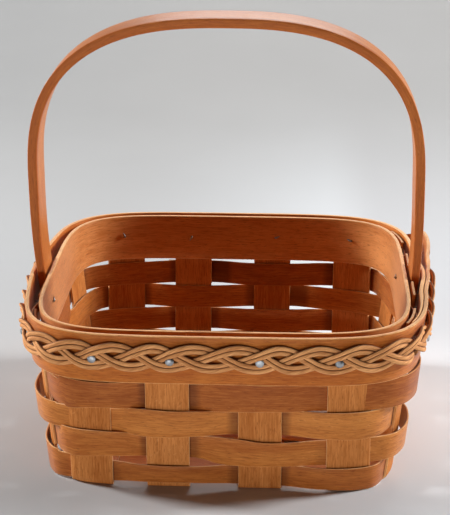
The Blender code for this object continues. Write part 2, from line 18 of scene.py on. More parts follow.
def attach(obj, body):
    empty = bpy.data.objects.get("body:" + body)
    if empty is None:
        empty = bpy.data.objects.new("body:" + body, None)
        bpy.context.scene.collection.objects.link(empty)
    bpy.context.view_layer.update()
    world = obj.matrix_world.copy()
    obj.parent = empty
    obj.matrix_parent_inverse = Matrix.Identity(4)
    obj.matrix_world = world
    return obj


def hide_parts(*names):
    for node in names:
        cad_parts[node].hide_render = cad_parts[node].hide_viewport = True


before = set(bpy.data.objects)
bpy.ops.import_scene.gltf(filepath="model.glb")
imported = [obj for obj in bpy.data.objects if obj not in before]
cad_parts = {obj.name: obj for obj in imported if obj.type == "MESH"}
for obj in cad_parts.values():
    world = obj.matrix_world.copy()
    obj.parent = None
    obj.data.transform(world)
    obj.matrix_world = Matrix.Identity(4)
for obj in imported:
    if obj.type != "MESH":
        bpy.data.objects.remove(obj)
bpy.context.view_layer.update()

MM = 0.001

# %% [markdown]
# ## Camera
#
# The photograph was taken from a little above the rim and slightly to the right.  The lens is
# long, as for a product photograph, so the upright sides hardly lean.  The camera is placed by
# its spot, the point that it looks at and a small roll.

# %% Camera
CAMERA_SPOT = (23.79 * MM, -616.42 * MM, 272.89 * MM)
CAMERA_TARGET = (-3.043 * MM, 0.0, 68.419 * MM)
CAMERA_ROLL = 0.0025
SENSOR = 36.0
LENS = 131.18
UPWARD = "Y"

bpy.ops.object.select_all(action="DESELECT")
bpy.ops.object.camera_add(location=CAMERA_SPOT)
camera = bpy.context.object
camera.name = "camera"
aim = (Vector(CAMERA_TARGET) - Vector(CAMERA_SPOT)).to_track_quat("-Z", UPWARD).to_matrix()
camera.rotation_euler = (aim @ Matrix.Rotation(CAMERA_ROLL, 3, "Z")).to_euler()
camera.data.sensor_fit = "HORIZONTAL"
camera.data.sensor_width = SENSOR
camera.data.lens = LENS
bpy.context.scene.camera = camera
print("Camera looks from", [round(c, 3) for c in camera.location])

# %% [markdown]
# ## The wall's own coordinates
#
# The sides are straight in the middle and round at the corners, and the whole wall opens
# slightly towards the rim.  One curve has just this shape: a superellipse, whose half sizes and
# squareness change with height.  Every strip is placed by it, so all the layers stay parallel.
# The loose end of the outer band makes the outline wider on the right, so at the end each piece
# is moved a little to the left, which puts the origin under the middle of the outline.

# %% Shape of the wall
CLEARANCE = 0.3 * MM
BASE_HALF_X = 65.0 * MM
BASE_HALF_Y = 66.0 * MM
BASE_SQUARENESS = 6.5
RIM_HALF_X = 72.2 * MM
RIM_HALF_Y = 73.4 * MM
RIM_SQUARENESS = 4.8
RIM_HEIGHT = 64.0 * MM
OUTLINE_SHIFT = 1.7 * MM
FRONT, RIGHT, BACK, LEFT = range(4)
OUTWARD = (-1.0, 1.0, 1.0, -1.0)
print("Wall, height in mm:", round(RIM_HEIGHT / MM, 1))

# %% Small sums
def mix(a, b, share):
    return a + (b - a) * share


def smooth_step(share):
    share = min(max(share, 0.0), 1.0)
    return share * share * (3.0 - 2.0 * share)


def curve_between(start, end, slope_at_start, slope_at_end, share):
    """A cubic curve from start to end that has the given slopes there."""
    square = share * share
    cube = square * share
    return ((2 * cube - 3 * square + 1) * start + (cube - 2 * square + share) * slope_at_start
            + (3 * square - 2 * cube) * end + (cube - square) * slope_at_end)


def distances_along(points):
    """Distance walked at each point of a line, from 0 at its first."""
    runs = [0.0]
    for before, after in zip(points, points[1:]):
        runs.append(runs[-1] + math.dist(before, after))
    return runs


def place_on(runs, x):
    """The stretch of a line at the distance x, and the share of that stretch passed there."""
    step = min(max(bisect.bisect_right(runs, x) - 1, 0), len(runs) - 2)
    return step, (x - runs[step]) / (runs[step + 1] - runs[step])


def wrap(angle):
    return (angle + math.pi) % (2 * math.pi) - math.pi


print("A quarter of the way, eased:", smooth_step(0.25))

# %% Points of the wall
def wall_sizes(z):
    """Half length, half width and squareness of the wall's middle at height z."""
    share = z / RIM_HEIGHT
    return (mix(BASE_HALF_X, RIM_HALF_X, share), mix(BASE_HALF_Y, RIM_HALF_Y, share),
            mix(BASE_SQUARENESS, RIM_SQUARENESS, share))


def moved_out(x, y, z, out):
    """The point at x, y on the wall's middle, moved squarely out of the wall."""
    a, b, n = wall_sizes(z)
    slope_x = math.copysign((abs(x) / a) ** (n - 1) / a, x)
    slope_y = math.copysign((abs(y) / b) ** (n - 1) / b, y)
    length = math.hypot(slope_x, slope_y)
    return Vector((x + out * slope_x / length, y + out * slope_y / length, z))


def wall_at_angle(angle, z, out=0.0):
    """A point of the wall in the direction of an angle about Z."""
    a, b, n = wall_sizes(z)
    c = math.cos(angle)
    s = math.sin(angle)
    reach = ((abs(c) / a) ** n + (abs(s) / b) ** n) ** (-1.0 / n)
    return moved_out(reach * c, reach * s, z, out)


def wall_at_side(side, along, z, out=0.0):
    """A point of the wall on one side: along is its X on the front and back, else its Y."""
    a, b, n = wall_sizes(z)
    if side in (FRONT, BACK):
        across = b * (1.0 - (abs(along) / a) ** n) ** (1.0 / n)
        return moved_out(along, -across if side == FRONT else across, z, out)
    across = a * (1.0 - (abs(along) / b) ** n) ** (1.0 / n)
    return moved_out(-across if side == LEFT else across, along, z, out)


def angle_of(point):
    return math.atan2(point.y, point.x)


print("Rim, half sizes in mm:", [round(size / MM, 1) for size in wall_sizes(RIM_HEIGHT)[:2]])

# %% [markdown]
# ## Shader arithmetic
#
# A wood or cord finish is mostly arithmetic on noise.  A socket wrapped in a small class takes
# Python's operators, so a mask reads as a formula, and each operator adds its Math node.

# %% Arithmetic on sockets
class Signal:
    """An output socket of a finish.  Operators on it add Math nodes."""

    def __init__(self, finish, socket):
        self.finish = finish
        self.socket = socket

    def maths(self, operation, *values):
        return self.finish.node("ShaderNodeMath", {"operation": operation}, dict(enumerate(values)))

    def __add__(self, other):
        return self.maths("ADD", self, other)

    def __radd__(self, other):
        return self.maths("ADD", other, self)

    def __sub__(self, other):
        return self.maths("SUBTRACT", self, other)

    def __rsub__(self, other):
        return self.maths("SUBTRACT", other, self)

    def __mul__(self, other):
        return self.maths("MULTIPLY", self, other)

    def __rmul__(self, other):
        return self.maths("MULTIPLY", other, self)


class Finish:
    """A material, with one method that adds any node."""

    def __init__(self, name):
        self.material = bpy.data.materials.new(name)
        self.material.use_nodes = True
        self.tree = self.material.node_tree
        self.shader = self.tree.nodes["Principled BSDF"]

    def node(self, kind, settings, sockets, output=0):
        made = self.tree.nodes.new(kind)
        for setting, value in settings.items():
            setattr(made, setting, value)
        for socket, value in sockets.items():
            self.feed(made.inputs[socket], value)
        return Signal(self, made.outputs[output])

    def feed(self, socket, value):
        if isinstance(value, Signal):
            self.tree.links.new(value.socket, socket)
        else:
            socket.default_value = value

    def set(self, **sockets):
        """Values or signals for the shader's own sockets, with _ for each space."""
        for socket, value in sockets.items():
            self.feed(self.shader.inputs[socket.replace("_", " ")], value)

    def stretched(self, coordinates, scale):
        return self.node("ShaderNodeVectorMath", {"operation": "MULTIPLY"}, {0: coordinates, 1: scale})

    def noise(self, coordinates, scale, detail=2.0, roughness=0.5):
        return self.node("ShaderNodeTexNoise", {}, {
            "Vector": self.stretched(coordinates, scale), "Scale": 1.0, "Detail": detail,
            "Roughness": roughness})

    def steps(self, signal, low, high):
        """A smooth mask: 0 where the signal is below low and 1 above high."""
        return self.node("ShaderNodeMapRange", {"interpolation_type": "SMOOTHSTEP"},
                         {"Value": signal, "From Min": low, "From Max": high})

    def blend(self, mask, first, second):
        """Colour first where the mask is 0 and colour second where it is 1."""
        return self.node("ShaderNodeMix", {"data_type": "RGBA"}, {0: mask, 6: first, 7: second}, 2)

    def bump(self, height, strength, distance):
        return self.node("ShaderNodeBump", {}, {"Height": height, "Strength": strength,
                                                "Distance": distance})


def paint(red, green, blue):
    """A colour as a screen shows it, turned to the linear values that a shader takes."""
    values = []
    for part in (red, green, blue):
        share = part / 255
        values.append(share / 12.92 if share <= 0.04045 else ((share + 0.055) / 1.055) ** 2.4)
    return (*values, 1.0)


print("Warm brown in linear values:", [round(part, 3) for part in paint(180, 110, 60)])

# %% [markdown]
# ## Maple splint finish
#
# The splints are thin maple, stained honey brown and barely sealed.  Their grain runs along each
# strip: soft broad tones, fine lines less than a millimetre wide, and short darker dashes where
# the vessels are cut open.  Every strip carries a map in real metres, along and across, so one
# finish has the same grain size on all of them and always follows the strip round its bends.
# Where one strip dives behind another, an attribute darkens the weavers there: this is painted shade.

# %% Wood
BROAD = (11.0, 60.0, 1.0)
SOFT_LINE = (24.0, 300.0, 1.0)
FINE_LINE = (130.0, 1700.0, 1.0)
DASH = (300.0, 2100.0, 1.0)
FLECK = (420.0, 900.0, 1.0)
FLECK_TURN = (0.0, 0.0, 0.5)
STRIP_TONE = (1.5, 1.5, 1.0)
FINE_LINE_SHARE = 0.945
SOFT_LINE_SHARE = 0.4725
DASH_SHARE = 0.6075
FLECK_SHARE = 0.3
# Strength and darkness of the painted shade between strips.
SHADE_SHARE = 0.6
SHADE_TONE_SHARE = 0.4
GRAIN_RELIEF = 0.2 * MM
SHADE_ATTRIBUTE = "painted_shade"


def wood(name, deep, light, dash, fleck, roughness, sheen=0.2, specular=0.18):
    """Stained maple from screen colours: both ends of its tones, its dashes and its flecks."""
    deep, light, dash, fleck = (paint(*colour) for colour in (deep, light, dash, fleck))
    finish = Finish(name)
    place = finish.node("ShaderNodeTexCoord", {}, {}, "UV")
    broad = finish.noise(place, BROAD, 3.0, 0.55)
    soft = finish.noise(place, SOFT_LINE, 2.0, 0.5)
    fine = finish.noise(place, FINE_LINE, 3.0, 0.65)
    tone = finish.noise(place, STRIP_TONE, 0.0)
    lines = (fine - 0.5) * FINE_LINE_SHARE + (soft - 0.5) * SOFT_LINE_SHARE
    body = finish.steps(broad * 0.6 + tone * 0.4 + lines, 0.2, 0.8)
    dashes = finish.steps(finish.noise(place, DASH, 2.0, 0.6), 0.56, 0.72) * DASH_SHARE
    turned = finish.node("ShaderNodeMapping", {}, {"Vector": place, "Rotation": FLECK_TURN})
    flecks = finish.steps(finish.noise(turned, FLECK, 1.0), 0.6, 0.74) * finish.steps(broad, 0.48, 0.6)
    colour = finish.blend(dashes, finish.blend(body, deep, light), dash)
    colour = finish.blend(flecks * FLECK_SHARE, colour, fleck)
    # Painted shade: darker where the strip lies hidden behind, or pressed on, another.
    shade_mask = finish.node("ShaderNodeAttribute", {"attribute_name": SHADE_ATTRIBUTE}, {}, "Fac")
    shade_colour = (*(part * SHADE_TONE_SHARE for part in dash[:3]), 1.0)
    colour = finish.blend(shade_mask * SHADE_SHARE, colour, shade_colour)
    finish.set(Specular_IOR_Level=specular, Sheen_Weight=sheen, Sheen_Roughness=0.4)
    finish.set(Base_Color=colour, Roughness=fine * 0.25 + (roughness - 0.12),
               Normal=finish.bump(fine * 0.7 + soft * 0.3 - dashes * 0.6, 0.3, GRAIN_RELIEF))
    finish.material.diffuse_color = light
    return finish.material


splint_face = wood("stained_splint", (174, 98, 42), (216, 140, 76), (138, 70, 26), (232, 166, 102),
                   0.5, sheen=0.0, specular=0.06)
weaver_face = wood("stained_weaver", (172, 92, 32), (212, 134, 62), (132, 64, 20),
                   (228, 154, 84), 0.46)
# A darker copy of the weaver finish, for the top and the bottom row: painted shade.
shaded_weaver_face = wood("stained_dark_weaver", (152, 76, 24), (196, 116, 50), (116, 52, 16),
                        (214, 138, 72), 0.46)
outer_band_face = wood("stained_band", (168, 84, 24), (206, 122, 48), (126, 58, 16),
                       (222, 144, 70), 0.42)
# A lighter copy of the band's wood for the inside band: painted light.
inner_band_painted_light = wood("stained_inner_band", (184, 104, 42), (222, 146, 82), (140, 72, 26),
                       (232, 166, 104), 0.42, sheen=0.35)
handle_face = wood("stained_handle", (180, 98, 34), (214, 138, 70), (138, 68, 22), (230, 158, 90),
                   0.4, sheen=0.05)
handle_edge = wood("stained_handle_edge", (182, 96, 36), (214, 126, 56), (138, 68, 22),
                   (222, 142, 76), 0.5)
# The cut and eased edges get a lighter wood: partly the paler cut wood, partly a painted highlight along
# each edge.
cut_edge = wood("cut_edge", (204, 136, 74), (240, 184, 122), (160, 92, 44), (246, 200, 148), 0.6)
stained = [material.name for material in bpy.data.materials if "stained" in material.name]
print("Wood finishes:", stained)

# %% [markdown]
# ## Cutting and bending a strip
#
# A basket maker cuts each strip flat, trims it to width and eases its edges, then bends it into
# place while it is damp.  The same order works here: a grid primitive is the flat strip, a
# Solidify modifier gives it its thickness and a Bevel modifier eases its edges, which is simple
# while it lies flat.  Its map is written in metres at this stage too.  Then each vertex is bent
# to its place by a formula.

# %% Cut a flat strip
EASE_ANGLE = math.radians(50.0)
SMOOTH_ANGLE = math.radians(40.0)
STRIP_SPACING = 1.37
FIRST_ROW, TOP_WEAVER, OUTER_BAND, INNER_BAND, HANDLE = 11, 16, 17, 18, 20
# Depths at which the painted shade between strips begins and grows full.
SHADE_START = 0.7
SHADE_REACH = 0.3


def pick(piece):
    """Select one piece, and nothing else."""
    bpy.ops.object.select_all(action="DESELECT")
    piece.select_set(True)
    bpy.context.view_layer.objects.active = piece


def apply_modifier(piece, name, kind, **settings):
    pick(piece)
    modifier = piece.modifiers.new(name, kind)
    for setting, value in settings.items():
        setattr(modifier, setting, value)
    bpy.ops.object.modifier_apply(modifier=name)


def flat_grid(name, steps, rows):
    """A flat grid, one unit long and wide, with a number of steps along and across it."""
    bpy.ops.object.select_all(action="DESELECT")
    bpy.ops.mesh.primitive_grid_add(x_subdivisions=steps, y_subdivisions=rows, size=1.0)
    bpy.context.object.name = name
    return bpy.context.object


def cut_strip(name, stations, width, thickness, rows, ease, face_finish, number, edge_finish=cut_edge):
    """A flat strip along X with a row of vertices at each station, and its map in metres.

    Each strip's number gives it a stretch of the grain of its own.
    """
    steps = len(stations) - 1
    strip = flat_grid(name, steps, rows)
    strip.data.name = name
    for point in strip.data.vertices:
        column = round((point.co.x + 0.5) * steps)
        point.co = (stations[column], point.co.y * width, 0.0)
    strip.data.materials.append(face_finish)
    strip.data.materials.append(edge_finish)
    apply_modifier(strip, "thickness", "SOLIDIFY", thickness=thickness, offset=0.0,
                   material_offset_rim=1)
    apply_modifier(strip, "eased edges", "BEVEL", width=ease, segments=2, limit_method="ANGLE",
                   angle_limit=EASE_ANGLE, material=1)
    chart = strip.data.uv_layers.active.data
    for loop in strip.data.loops:
        x, y, z = strip.data.vertices[loop.vertex_index].co
        chart[loop.index].uv = (x + number * STRIP_SPACING, y + z + number * STRIP_SPACING / 2)
    return strip


def painted_shade_at(depth):
    """How dark the painted shade is at a depth between 0, in the open, and 1, deep between two strips."""
    return smooth_step((depth - SHADE_START) / SHADE_REACH)


def mark_painted_shade(piece, shade_mask):
    """Write at each vertex how dark its painted shade is, for the finish to read."""
    shade_layer = piece.data.attributes.new(SHADE_ATTRIBUTE, "FLOAT", "POINT")
    for point, mark in zip(piece.data.vertices, shade_layer.data):
        mark.value = shade_mask(*point.co)


def bend(strip, place, shade_mask=None):
    """Move every vertex of a flat strip to its place, after marking its painted shade."""
    if shade_mask:
        mark_painted_shade(strip, shade_mask)
    for point in strip.data.vertices:
        point.co = place(*point.co)
    return finish_piece(strip)


def finish_piece(piece):
    """Put a piece in its last place, smooth it, and check that it is closed and not inside out."""
    piece.data.transform(Matrix.Translation((-OUTLINE_SHIFT, 0.0, 0.0)))
    pick(piece)
    bpy.ops.object.shade_smooth_by_angle(angle=SMOOTH_ANGLE)
    body = bmesh.new()
    body.from_mesh(piece.data)
    volume = body.calc_volume(signed=True)
    loose = sum(not edge.is_manifold for edge in body.edges)
    body.free()
    print(piece.name, "volume in cubic mm:", round(volume / MM ** 3), "open edges:", loose)
    return piece


def stand_for(piece, node):
    """Let a finished piece take the place of its plain solid."""
    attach(piece, "root")
    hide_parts(node)


def wobble(seed, x, y, size, length=25.0 * MM):
    """A small smooth unevenness along a strip, the same at every run."""
    return size * noise.noise(Vector((x / length + seed * 7.3, y / length, seed * 1.7)))


print("Unevenness at the start of strip 1, in mm:", round(wobble(1, 0.0, 0.0, MM), 3))

# %% [markdown]
# ## Splints of the bottom, folded up as uprights
#
# Eight wide splints cross over and under each other in the bottom.  Outside the last crossing
# each one turns up sharply and becomes two uprights of the wall.  The path of one splint is
# therefore down the wall, round the fold, through the weave and up again.

# %% Splints
SPLINT_WIDTH = 15.9 * MM
SPLINT_THICKNESS = 1.0 * MM
SPLINT_EASE = 0.16 * MM
SPLINT_UNEVENNESS = 0.15 * MM
SPLINT_GRID_ROWS = 8
END_DROP = {FRONT: 1.5 * MM, RIGHT: 0.6 * MM, BACK: 1.5 * MM, LEFT: 3.4 * MM}
FOLD_RADIUS = 1.8 * MM
SPLINTS_PER_SIDE = 4
UPRIGHTS = 16
LONG_SPLINT_X = tuple(share * BASE_HALF_X for share in (-0.735, -0.288, 0.238, 0.755))
LONG_SPLINT_SKEW = (0.0, 0.006, 0.014, 0.032)
CROSS_SPLINT_Y = (-0.727 * BASE_HALF_Y, -17.45 * MM, 17.45 * MM, 0.727 * BASE_HALF_Y)
LOW_LEVEL = SPLINT_THICKNESS / 2
HIGH_LEVEL = LOW_LEVEL + SPLINT_THICKNESS + CLEARANCE
WALL_STEPS = 26
FOLD_STEPS = 9
FLOOR_STEPS = 90
print("Levels of the splints in the bottom, in mm:", LOW_LEVEL / MM, round(HIGH_LEVEL / MM, 2))

# %% Weave in the bottom
def long_splint_x(index, y):
    return LONG_SPLINT_X[index] + LONG_SPLINT_SKEW[index] * y


def from_side(side, along, out, height):
    """A point given by its places along and out of a side."""
    return Vector((along, out, height)) if side in (FRONT, BACK) else Vector((out, along, height))


def goes_over(long_index, cross_index):
    return (long_index + cross_index) % 2 == 0


def floor_level(place, crossings, raised):
    """Level of a splint's middle at a place in the bottom."""
    half = SPLINT_WIDTH / 2
    levels = [HIGH_LEVEL if up else LOW_LEVEL for up in raised]
    ends = [crossings[0] - 3 * half, *crossings, crossings[-1] + 3 * half]
    levels = [LOW_LEVEL, *levels, LOW_LEVEL]
    for step in range(len(ends) - 1):
        start = ends[step] + (half if step else 0.0)
        end = ends[step + 1] - (half if step < len(ends) - 2 else 0.0)
        if place <= end:
            return mix(levels[step], levels[step + 1], smooth_step((place - start) / (end - start)))
        if step < len(ends) - 2 and place <= ends[step + 1] + half:
            return levels[step + 1]
    return LOW_LEVEL


print("Over the front cross splint:", [goes_over(step, 0) for step in range(SPLINTS_PER_SIDE)])

# %% Fold and weave one splint
def make_splint(name, node, number, sides, along_at, hand, crossings, raised):
    """One splint with both its uprights.

    hand is 1 or -1, so that the strip's width runs the right way round on both pairs of sides.
    """
    spread = RIM_HALF_Y - BASE_HALF_Y if sides[0] == FRONT else RIM_HALF_X - BASE_HALF_X
    turn = math.pi / 2 - math.atan2(spread, RIM_HEIGHT)
    wall_start = LOW_LEVEL + FOLD_RADIUS * (1.0 - math.cos(turn))
    top = RIM_HEIGHT - CLEARANCE
    wall_run = top - wall_start
    fold_run = FOLD_RADIUS * turn
    centres = {}

    def centre_of(side, column):
        key = (side, round(column, 7))
        if key not in centres:
            foot = wall_at_side(side, along_at(OUTWARD[side] * BASE_HALF_Y) + column, wall_start)
            reach = abs(foot.y if side in (FRONT, BACK) else foot.x)
            centres[key] = reach - FOLD_RADIUS * math.sin(turn)
        return centres[key]

    def on_end(side, run, column, offset):
        """A point on one upright: run is its distance from the start of its fold."""
        if run > fold_run:
            height = wall_start + run - fold_run
            along = along_at(OUTWARD[side] * wall_sizes(height)[1]) + column
            return wall_at_side(side, along, height, offset)
        swing = run / FOLD_RADIUS
        radius = FOLD_RADIUS + offset
        out = OUTWARD[side] * (centre_of(side, column) + radius * math.sin(swing))
        height = LOW_LEVEL + FOLD_RADIUS - radius * math.cos(swing)
        along = along_at(out) + column
        return from_side(side, along, out, height)

    floor_run = centre_of(sides[0], 0.0) + centre_of(sides[1], 0.0)
    upright_run = wall_run + fold_run
    whole = 2 * upright_run + floor_run

    def place(x, y, z):
        column = hand * (y + wobble(number, x, y, SPLINT_UNEVENNESS))
        x = min(max(x, 0.0), whole)
        if x < upright_run:
            return on_end(sides[0], upright_run - x, column, z)
        if x > upright_run + floor_run:
            return on_end(sides[1], x - upright_run - floor_run, column, z)
        share = (x - upright_run) / floor_run
        spot = mix(-centre_of(sides[0], column), centre_of(sides[1], column), share)
        height = floor_level(spot, crossings, raised) - z
        along = along_at(spot) + column
        return from_side(sides[0], along, spot, height)

    first, last = (END_DROP[side] for side in sides)
    wall = [mix(first, wall_run, step / WALL_STEPS) for step in range(WALL_STEPS)]
    far_wall = [whole - mix(last, wall_run, step / WALL_STEPS) for step in reversed(range(WALL_STEPS))]
    half = [wall_run + fold_run * step / FOLD_STEPS for step in range(FOLD_STEPS)]
    half += [upright_run + floor_run * step / FLOOR_STEPS for step in range(FLOOR_STEPS // 2 + 1)]
    stations = wall + half + [whole - station for station in reversed(half[:-1])] + far_wall
    strip = cut_strip(name, stations, SPLINT_WIDTH, SPLINT_THICKNESS, SPLINT_GRID_ROWS,
                      SPLINT_EASE, splint_face, number)
    stand_for(bend(strip, place), node)


print("Radius of the folds in mm:", FOLD_RADIUS / MM)

# %% All the splints
for index in range(SPLINTS_PER_SIDE):
    make_splint(f"woven_splint_long_{index + 1}", f"long_splint_{index + 1}", index, (FRONT, BACK),
                lambda spot, number=index: long_splint_x(number, spot), 1.0,
                CROSS_SPLINT_Y, [goes_over(index, cross) for cross in range(SPLINTS_PER_SIDE)])
for index, fixed in enumerate(CROSS_SPLINT_Y):
    make_splint(f"woven_splint_cross_{index + 1}", f"cross_splint_{index + 1}",
                SPLINTS_PER_SIDE + index, (LEFT, RIGHT), lambda spot, level=fixed: level, -1.0,
                [long_splint_x(step, fixed) for step in range(SPLINTS_PER_SIDE)],
                [not goes_over(step, index) for step in range(SPLINTS_PER_SIDE)])

# %% [markdown]
# ## Strips that run round the wall
#
# The weavers and the bands are strips on edge.  Each follows a list of stations, an angle about
# the middle of the basket and a distance out of the wall, and its length is measured along them
# so that the grain isn't stretched.

# %% Hoops
WEAVER_THICKNESS = 0.7 * MM
WEAVE = (SPLINT_THICKNESS + WEAVER_THICKNESS) / 2 + CLEARANCE


def make_hoop(name, node, number, path, bottom, top, thickness, rows, ease, finish,
              unevenness, faces=None, edges=None, flare=None):
    """A strip on edge along (angle, distance out) stations.

    faces may give a thickness that changes, edges how far the lower and upper edge are lifted,
    and flare how far the upper edge stands further out than the lower one.
    """
    middle = (bottom + top) / 2
    runs = distances_along([wall_at_angle(angle, middle, out) for angle, out in path])

    def place(x, y, z):
        step, share = place_on(runs, x)
        angle = mix(path[step][0], path[step + 1][0], share)
        out = mix(path[step][1], path[step + 1][1], share)
        if faces:
            inner = mix(faces[step][0], faces[step + 1][0], share)
            outer = mix(faces[step][1], faces[step + 1][1], share)
            distance = mix(inner, outer, z / thickness + 0.5)
        else:
            distance = out + z
        if flare:
            distance += flare(angle) * (y / (top - bottom) + 0.5)
        height = middle + y + wobble(number, x, y, unevenness)
        if edges:
            low, high = (lift_at(edge, angle) for edge in edges)
            height += mix(low, high, y / (top - bottom) + 0.5)
        return wall_at_angle(angle, height, distance)

    def shade_mask(x, y, z):
        """Painted shade on the face that is hidden behind, or pressed on, an upright."""
        step, share = place_on(runs, x)
        out = mix(path[step][1], path[step + 1][1], share) / WEAVE
        return painted_shade_at(-out if z > 0 else out)

    strip = cut_strip(name, runs, top - bottom, thickness, rows, ease, finish, number)
    stand_for(bend(strip, place, None if faces else shade_mask), node)


print("A hoop's middle at the rim is", round(2 * RIM_HALF_X / MM), "mm wide")

# %% [markdown]
# ## Weavers
#
# Four thin weavers go round, one ring to a row, and a narrower one lies under the bands.  Each
# passes outside one upright and inside the next, and ends over its own start.  Where it crosses
# an upright it lies flat, with a slight bow because it is under tension.  At the front corners
# the rows are looser and stand off a little, which makes those corners squarer.

# %% Sizes of the weavers
ROWS = 4
# Rows 1 and 4, the top and the bottom row, take the darker copy of the weaver finish: painted shade.
SHADED_ROWS = (1, 4)
WEAVER_HEIGHT = 9.7 * MM
WEAVER_GRID_ROWS = 4
TOP_WEAVER_GRID_ROWS = 3
WEAVER_EASE = 0.12 * MM
WEAVER_UNEVENNESS = 0.08 * MM
TOP_WEAVER_UNEVENNESS = 0.05 * MM
WEAVER_BOW = 0.4 * MM
TOP_WEAVER_BOW = 0.12 * MM
ROW_PITCH = 10.3 * MM
LOW_EDGE = 2.2 * MM
TOP_WEAVER_HEIGHT = 7.6 * MM
TOP_WEAVER_DROP = 4.4 * MM
TOP_WEAVER_OUTSIDE = (1, 3, 4, 7, 9, 11, 12, 15)
TOP_WEAVER_START = 10
WEAVER_LAP_UPRIGHTS = (10, 9, 14, 13)
LAP_OVERHANG = 2.5 * MM
CORNER_SLACK = ((0.5, 3.4), (2.0, 0.2), (0.2, 2.0), (0.7, 0.4))
SLACK_PLACES = (math.atan2(-52.0, -69.0), math.atan2(-48.0, 69.0))
SLACK_REACH = 0.55
STEPS_OVER_UPRIGHT = 7
STEPS_BETWEEN = 8
STEPS_AT_CORNER = 14
print("Levels of the rows in mm:", [round((LOW_EDGE + row * ROW_PITCH) / MM, 1) for row in range(ROWS)])

# %% Uprights
def upright(index):
    """Side and place of one of the sixteen uprights, counted from the front left corner."""
    side, step = divmod(index % UPRIGHTS, SPLINTS_PER_SIDE)
    if side == FRONT:
        return side, long_splint_x(step, -RIM_HALF_Y)
    if side == RIGHT:
        return side, CROSS_SPLINT_Y[step]
    if side == BACK:
        return side, long_splint_x(SPLINTS_PER_SIDE - 1 - step, RIM_HALF_Y)
    return side, CROSS_SPLINT_Y[SPLINTS_PER_SIDE - 1 - step]


def edges_of(index, height):
    """Angles of both edges of an upright, in the order that the ring is walked."""
    side, along = upright(index)
    half = SPLINT_WIDTH / 2 if side in (FRONT, RIGHT) else -SPLINT_WIDTH / 2
    first = angle_of(wall_at_side(side, along - half, height))
    last = angle_of(wall_at_side(side, along + half, height))
    return first, first + wrap(last - first)


print("First upright at the rim, angles of its edges:", [round(a, 3) for a in edges_of(0, RIM_HEIGHT)])

# %% Path of a weaver
def slack_at(angle, slack):
    """How far a weaver stands off, loosely, at the front left and the front right corner."""
    out = 0.0
    for middle, size in zip(SLACK_PLACES, slack):
        share = abs(wrap(angle - middle)) / SLACK_REACH
        out += size * MM * (1.0 - smooth_step(share))
    return out


def swing_over(path, angle, out, steps, last=0):
    """Add the stations between the end of a path and its next upright, or up to it with last=1."""
    last_angle, last_out = path[-1]
    for count in range(1, steps + last):
        share = count / steps
        path.append((mix(last_angle, angle, share), mix(last_out, out, smooth_step(share))))


def weaver_path(height, outside, first, lapped, slack=(0.0, 0.0)):
    """Stations once round: flat on each upright, and swinging to the other face between them."""
    path = []
    for step in range(UPRIGHTS + (1 if lapped else 0)):
        index = first + step
        out = WEAVE if outside(index % UPRIGHTS) else -WEAVE
        bow = math.copysign(WEAVER_BOW if lapped else TOP_WEAVER_BOW, out)
        if step == UPRIGHTS:
            out += math.copysign(WEAVER_THICKNESS + CLEARANCE, out)
        start, end = edges_of(index, height)
        if path:
            walked = path[-1][0] + (start - path[-1][0]) % (2 * math.pi)
            end = walked + end - start
            start = walked
            corner = index % SPLINTS_PER_SIDE == 0
            swing_over(path, start, out, STEPS_AT_CORNER if corner else STEPS_BETWEEN)
        for count in range(STEPS_OVER_UPRIGHT + 1):
            share = count / STEPS_OVER_UPRIGHT
            path.append((mix(start, end, share), out + bow * math.sin(share * math.pi)))
    radius = (RIM_HALF_X + BASE_HALF_X) / 2
    if lapped:
        path.append((path[-1][0] + LAP_OVERHANG / radius, path[-1][1]))
    else:
        gap_end = path[0][0] + 2 * math.pi - CLEARANCE * 2 / radius
        swing_over(path, gap_end, path[0][1], STEPS_BETWEEN, last=1)
    return [(angle, out + slack_at(angle, slack)) for angle, out in path]


print("Slack at the front left corner of the rows, in mm:", [left for left, _ in CORNER_SLACK])

# %% [markdown]
# ## Edges of the rows
#
# The weavers are packed by hand, so no edge is quite level: on the front the rows touch at some
# places and leave a dark slit at others.  Each edge gets a smooth curve of small lifts through
# places along the front, and a slight unevenness on the other sides.

# %% Row edges
FRONT_EDGES = {
    1: (((-56, -1.1), (-47, 0.2), (-40, 0.6), (-32, -0.1), (-7, -0.6), (7, 0.0), (23, 0.3), (58, 0.0)),
        ((-58, 1.7), (-48, 1.1), (-32, 1.3), (-22, 2.1), (0, 2.1), (16, 1.5), (30, 2.1), (58, 2.2))),
    2: (((-52, 0.3), (-39, 0.2), (-28, -0.7), (-19, -0.8), (-11, -0.4), (2, 0.1), (26, 0.1), (38, -0.4),
         (50, -1.0), (60, -0.5)),
        ((-60, -0.5), (-39, 0.1), (-32, 1.0), (-26, 1.0), (-18, 0.5), (-8, 0.5), (-2, 0.4), (15, 0.5),
         (28, 0.9), (38, 0.8), (56, 0.5))),
    3: (((-55, -0.6), (-48, 0.4), (-39, 1.0), (-28, 0.5), (-11, 0.3), (-6, -0.4), (-1, -1.6), (8, -2.0),
         (29, -2.0), (45, -2.0), (60, -1.4)),
        ((-58, 1.3), (-44, 1.6), (-35, 1.1), (-28, -0.9), (-8, -0.4), (0, -0.1), (8, -0.6), (14, -1.5),
         (22, -1.7), (38, -1.3), (58, -1.0))),
    4: (((-62, -1.7), (-55, -1.0), (-40, -0.4), (-28, 0.6), (-11, 0.6), (5, -0.4), (24, -1.0), (40, -1.3),
         (56, -1.9)),
        ((-60, -0.8), (-40, -1.5), (-19, -2.0), (5, -2.1), (29, -1.7), (47, -2.2), (60, -2.2))),
}
SIDE_LIFT = 0.12 * MM
SIDE_UNEVENNESS = 0.4 * MM
UNEVENNESS_STEP = 31.0 * MM
LAST_UPRIGHT_DROP = -1.5 * MM


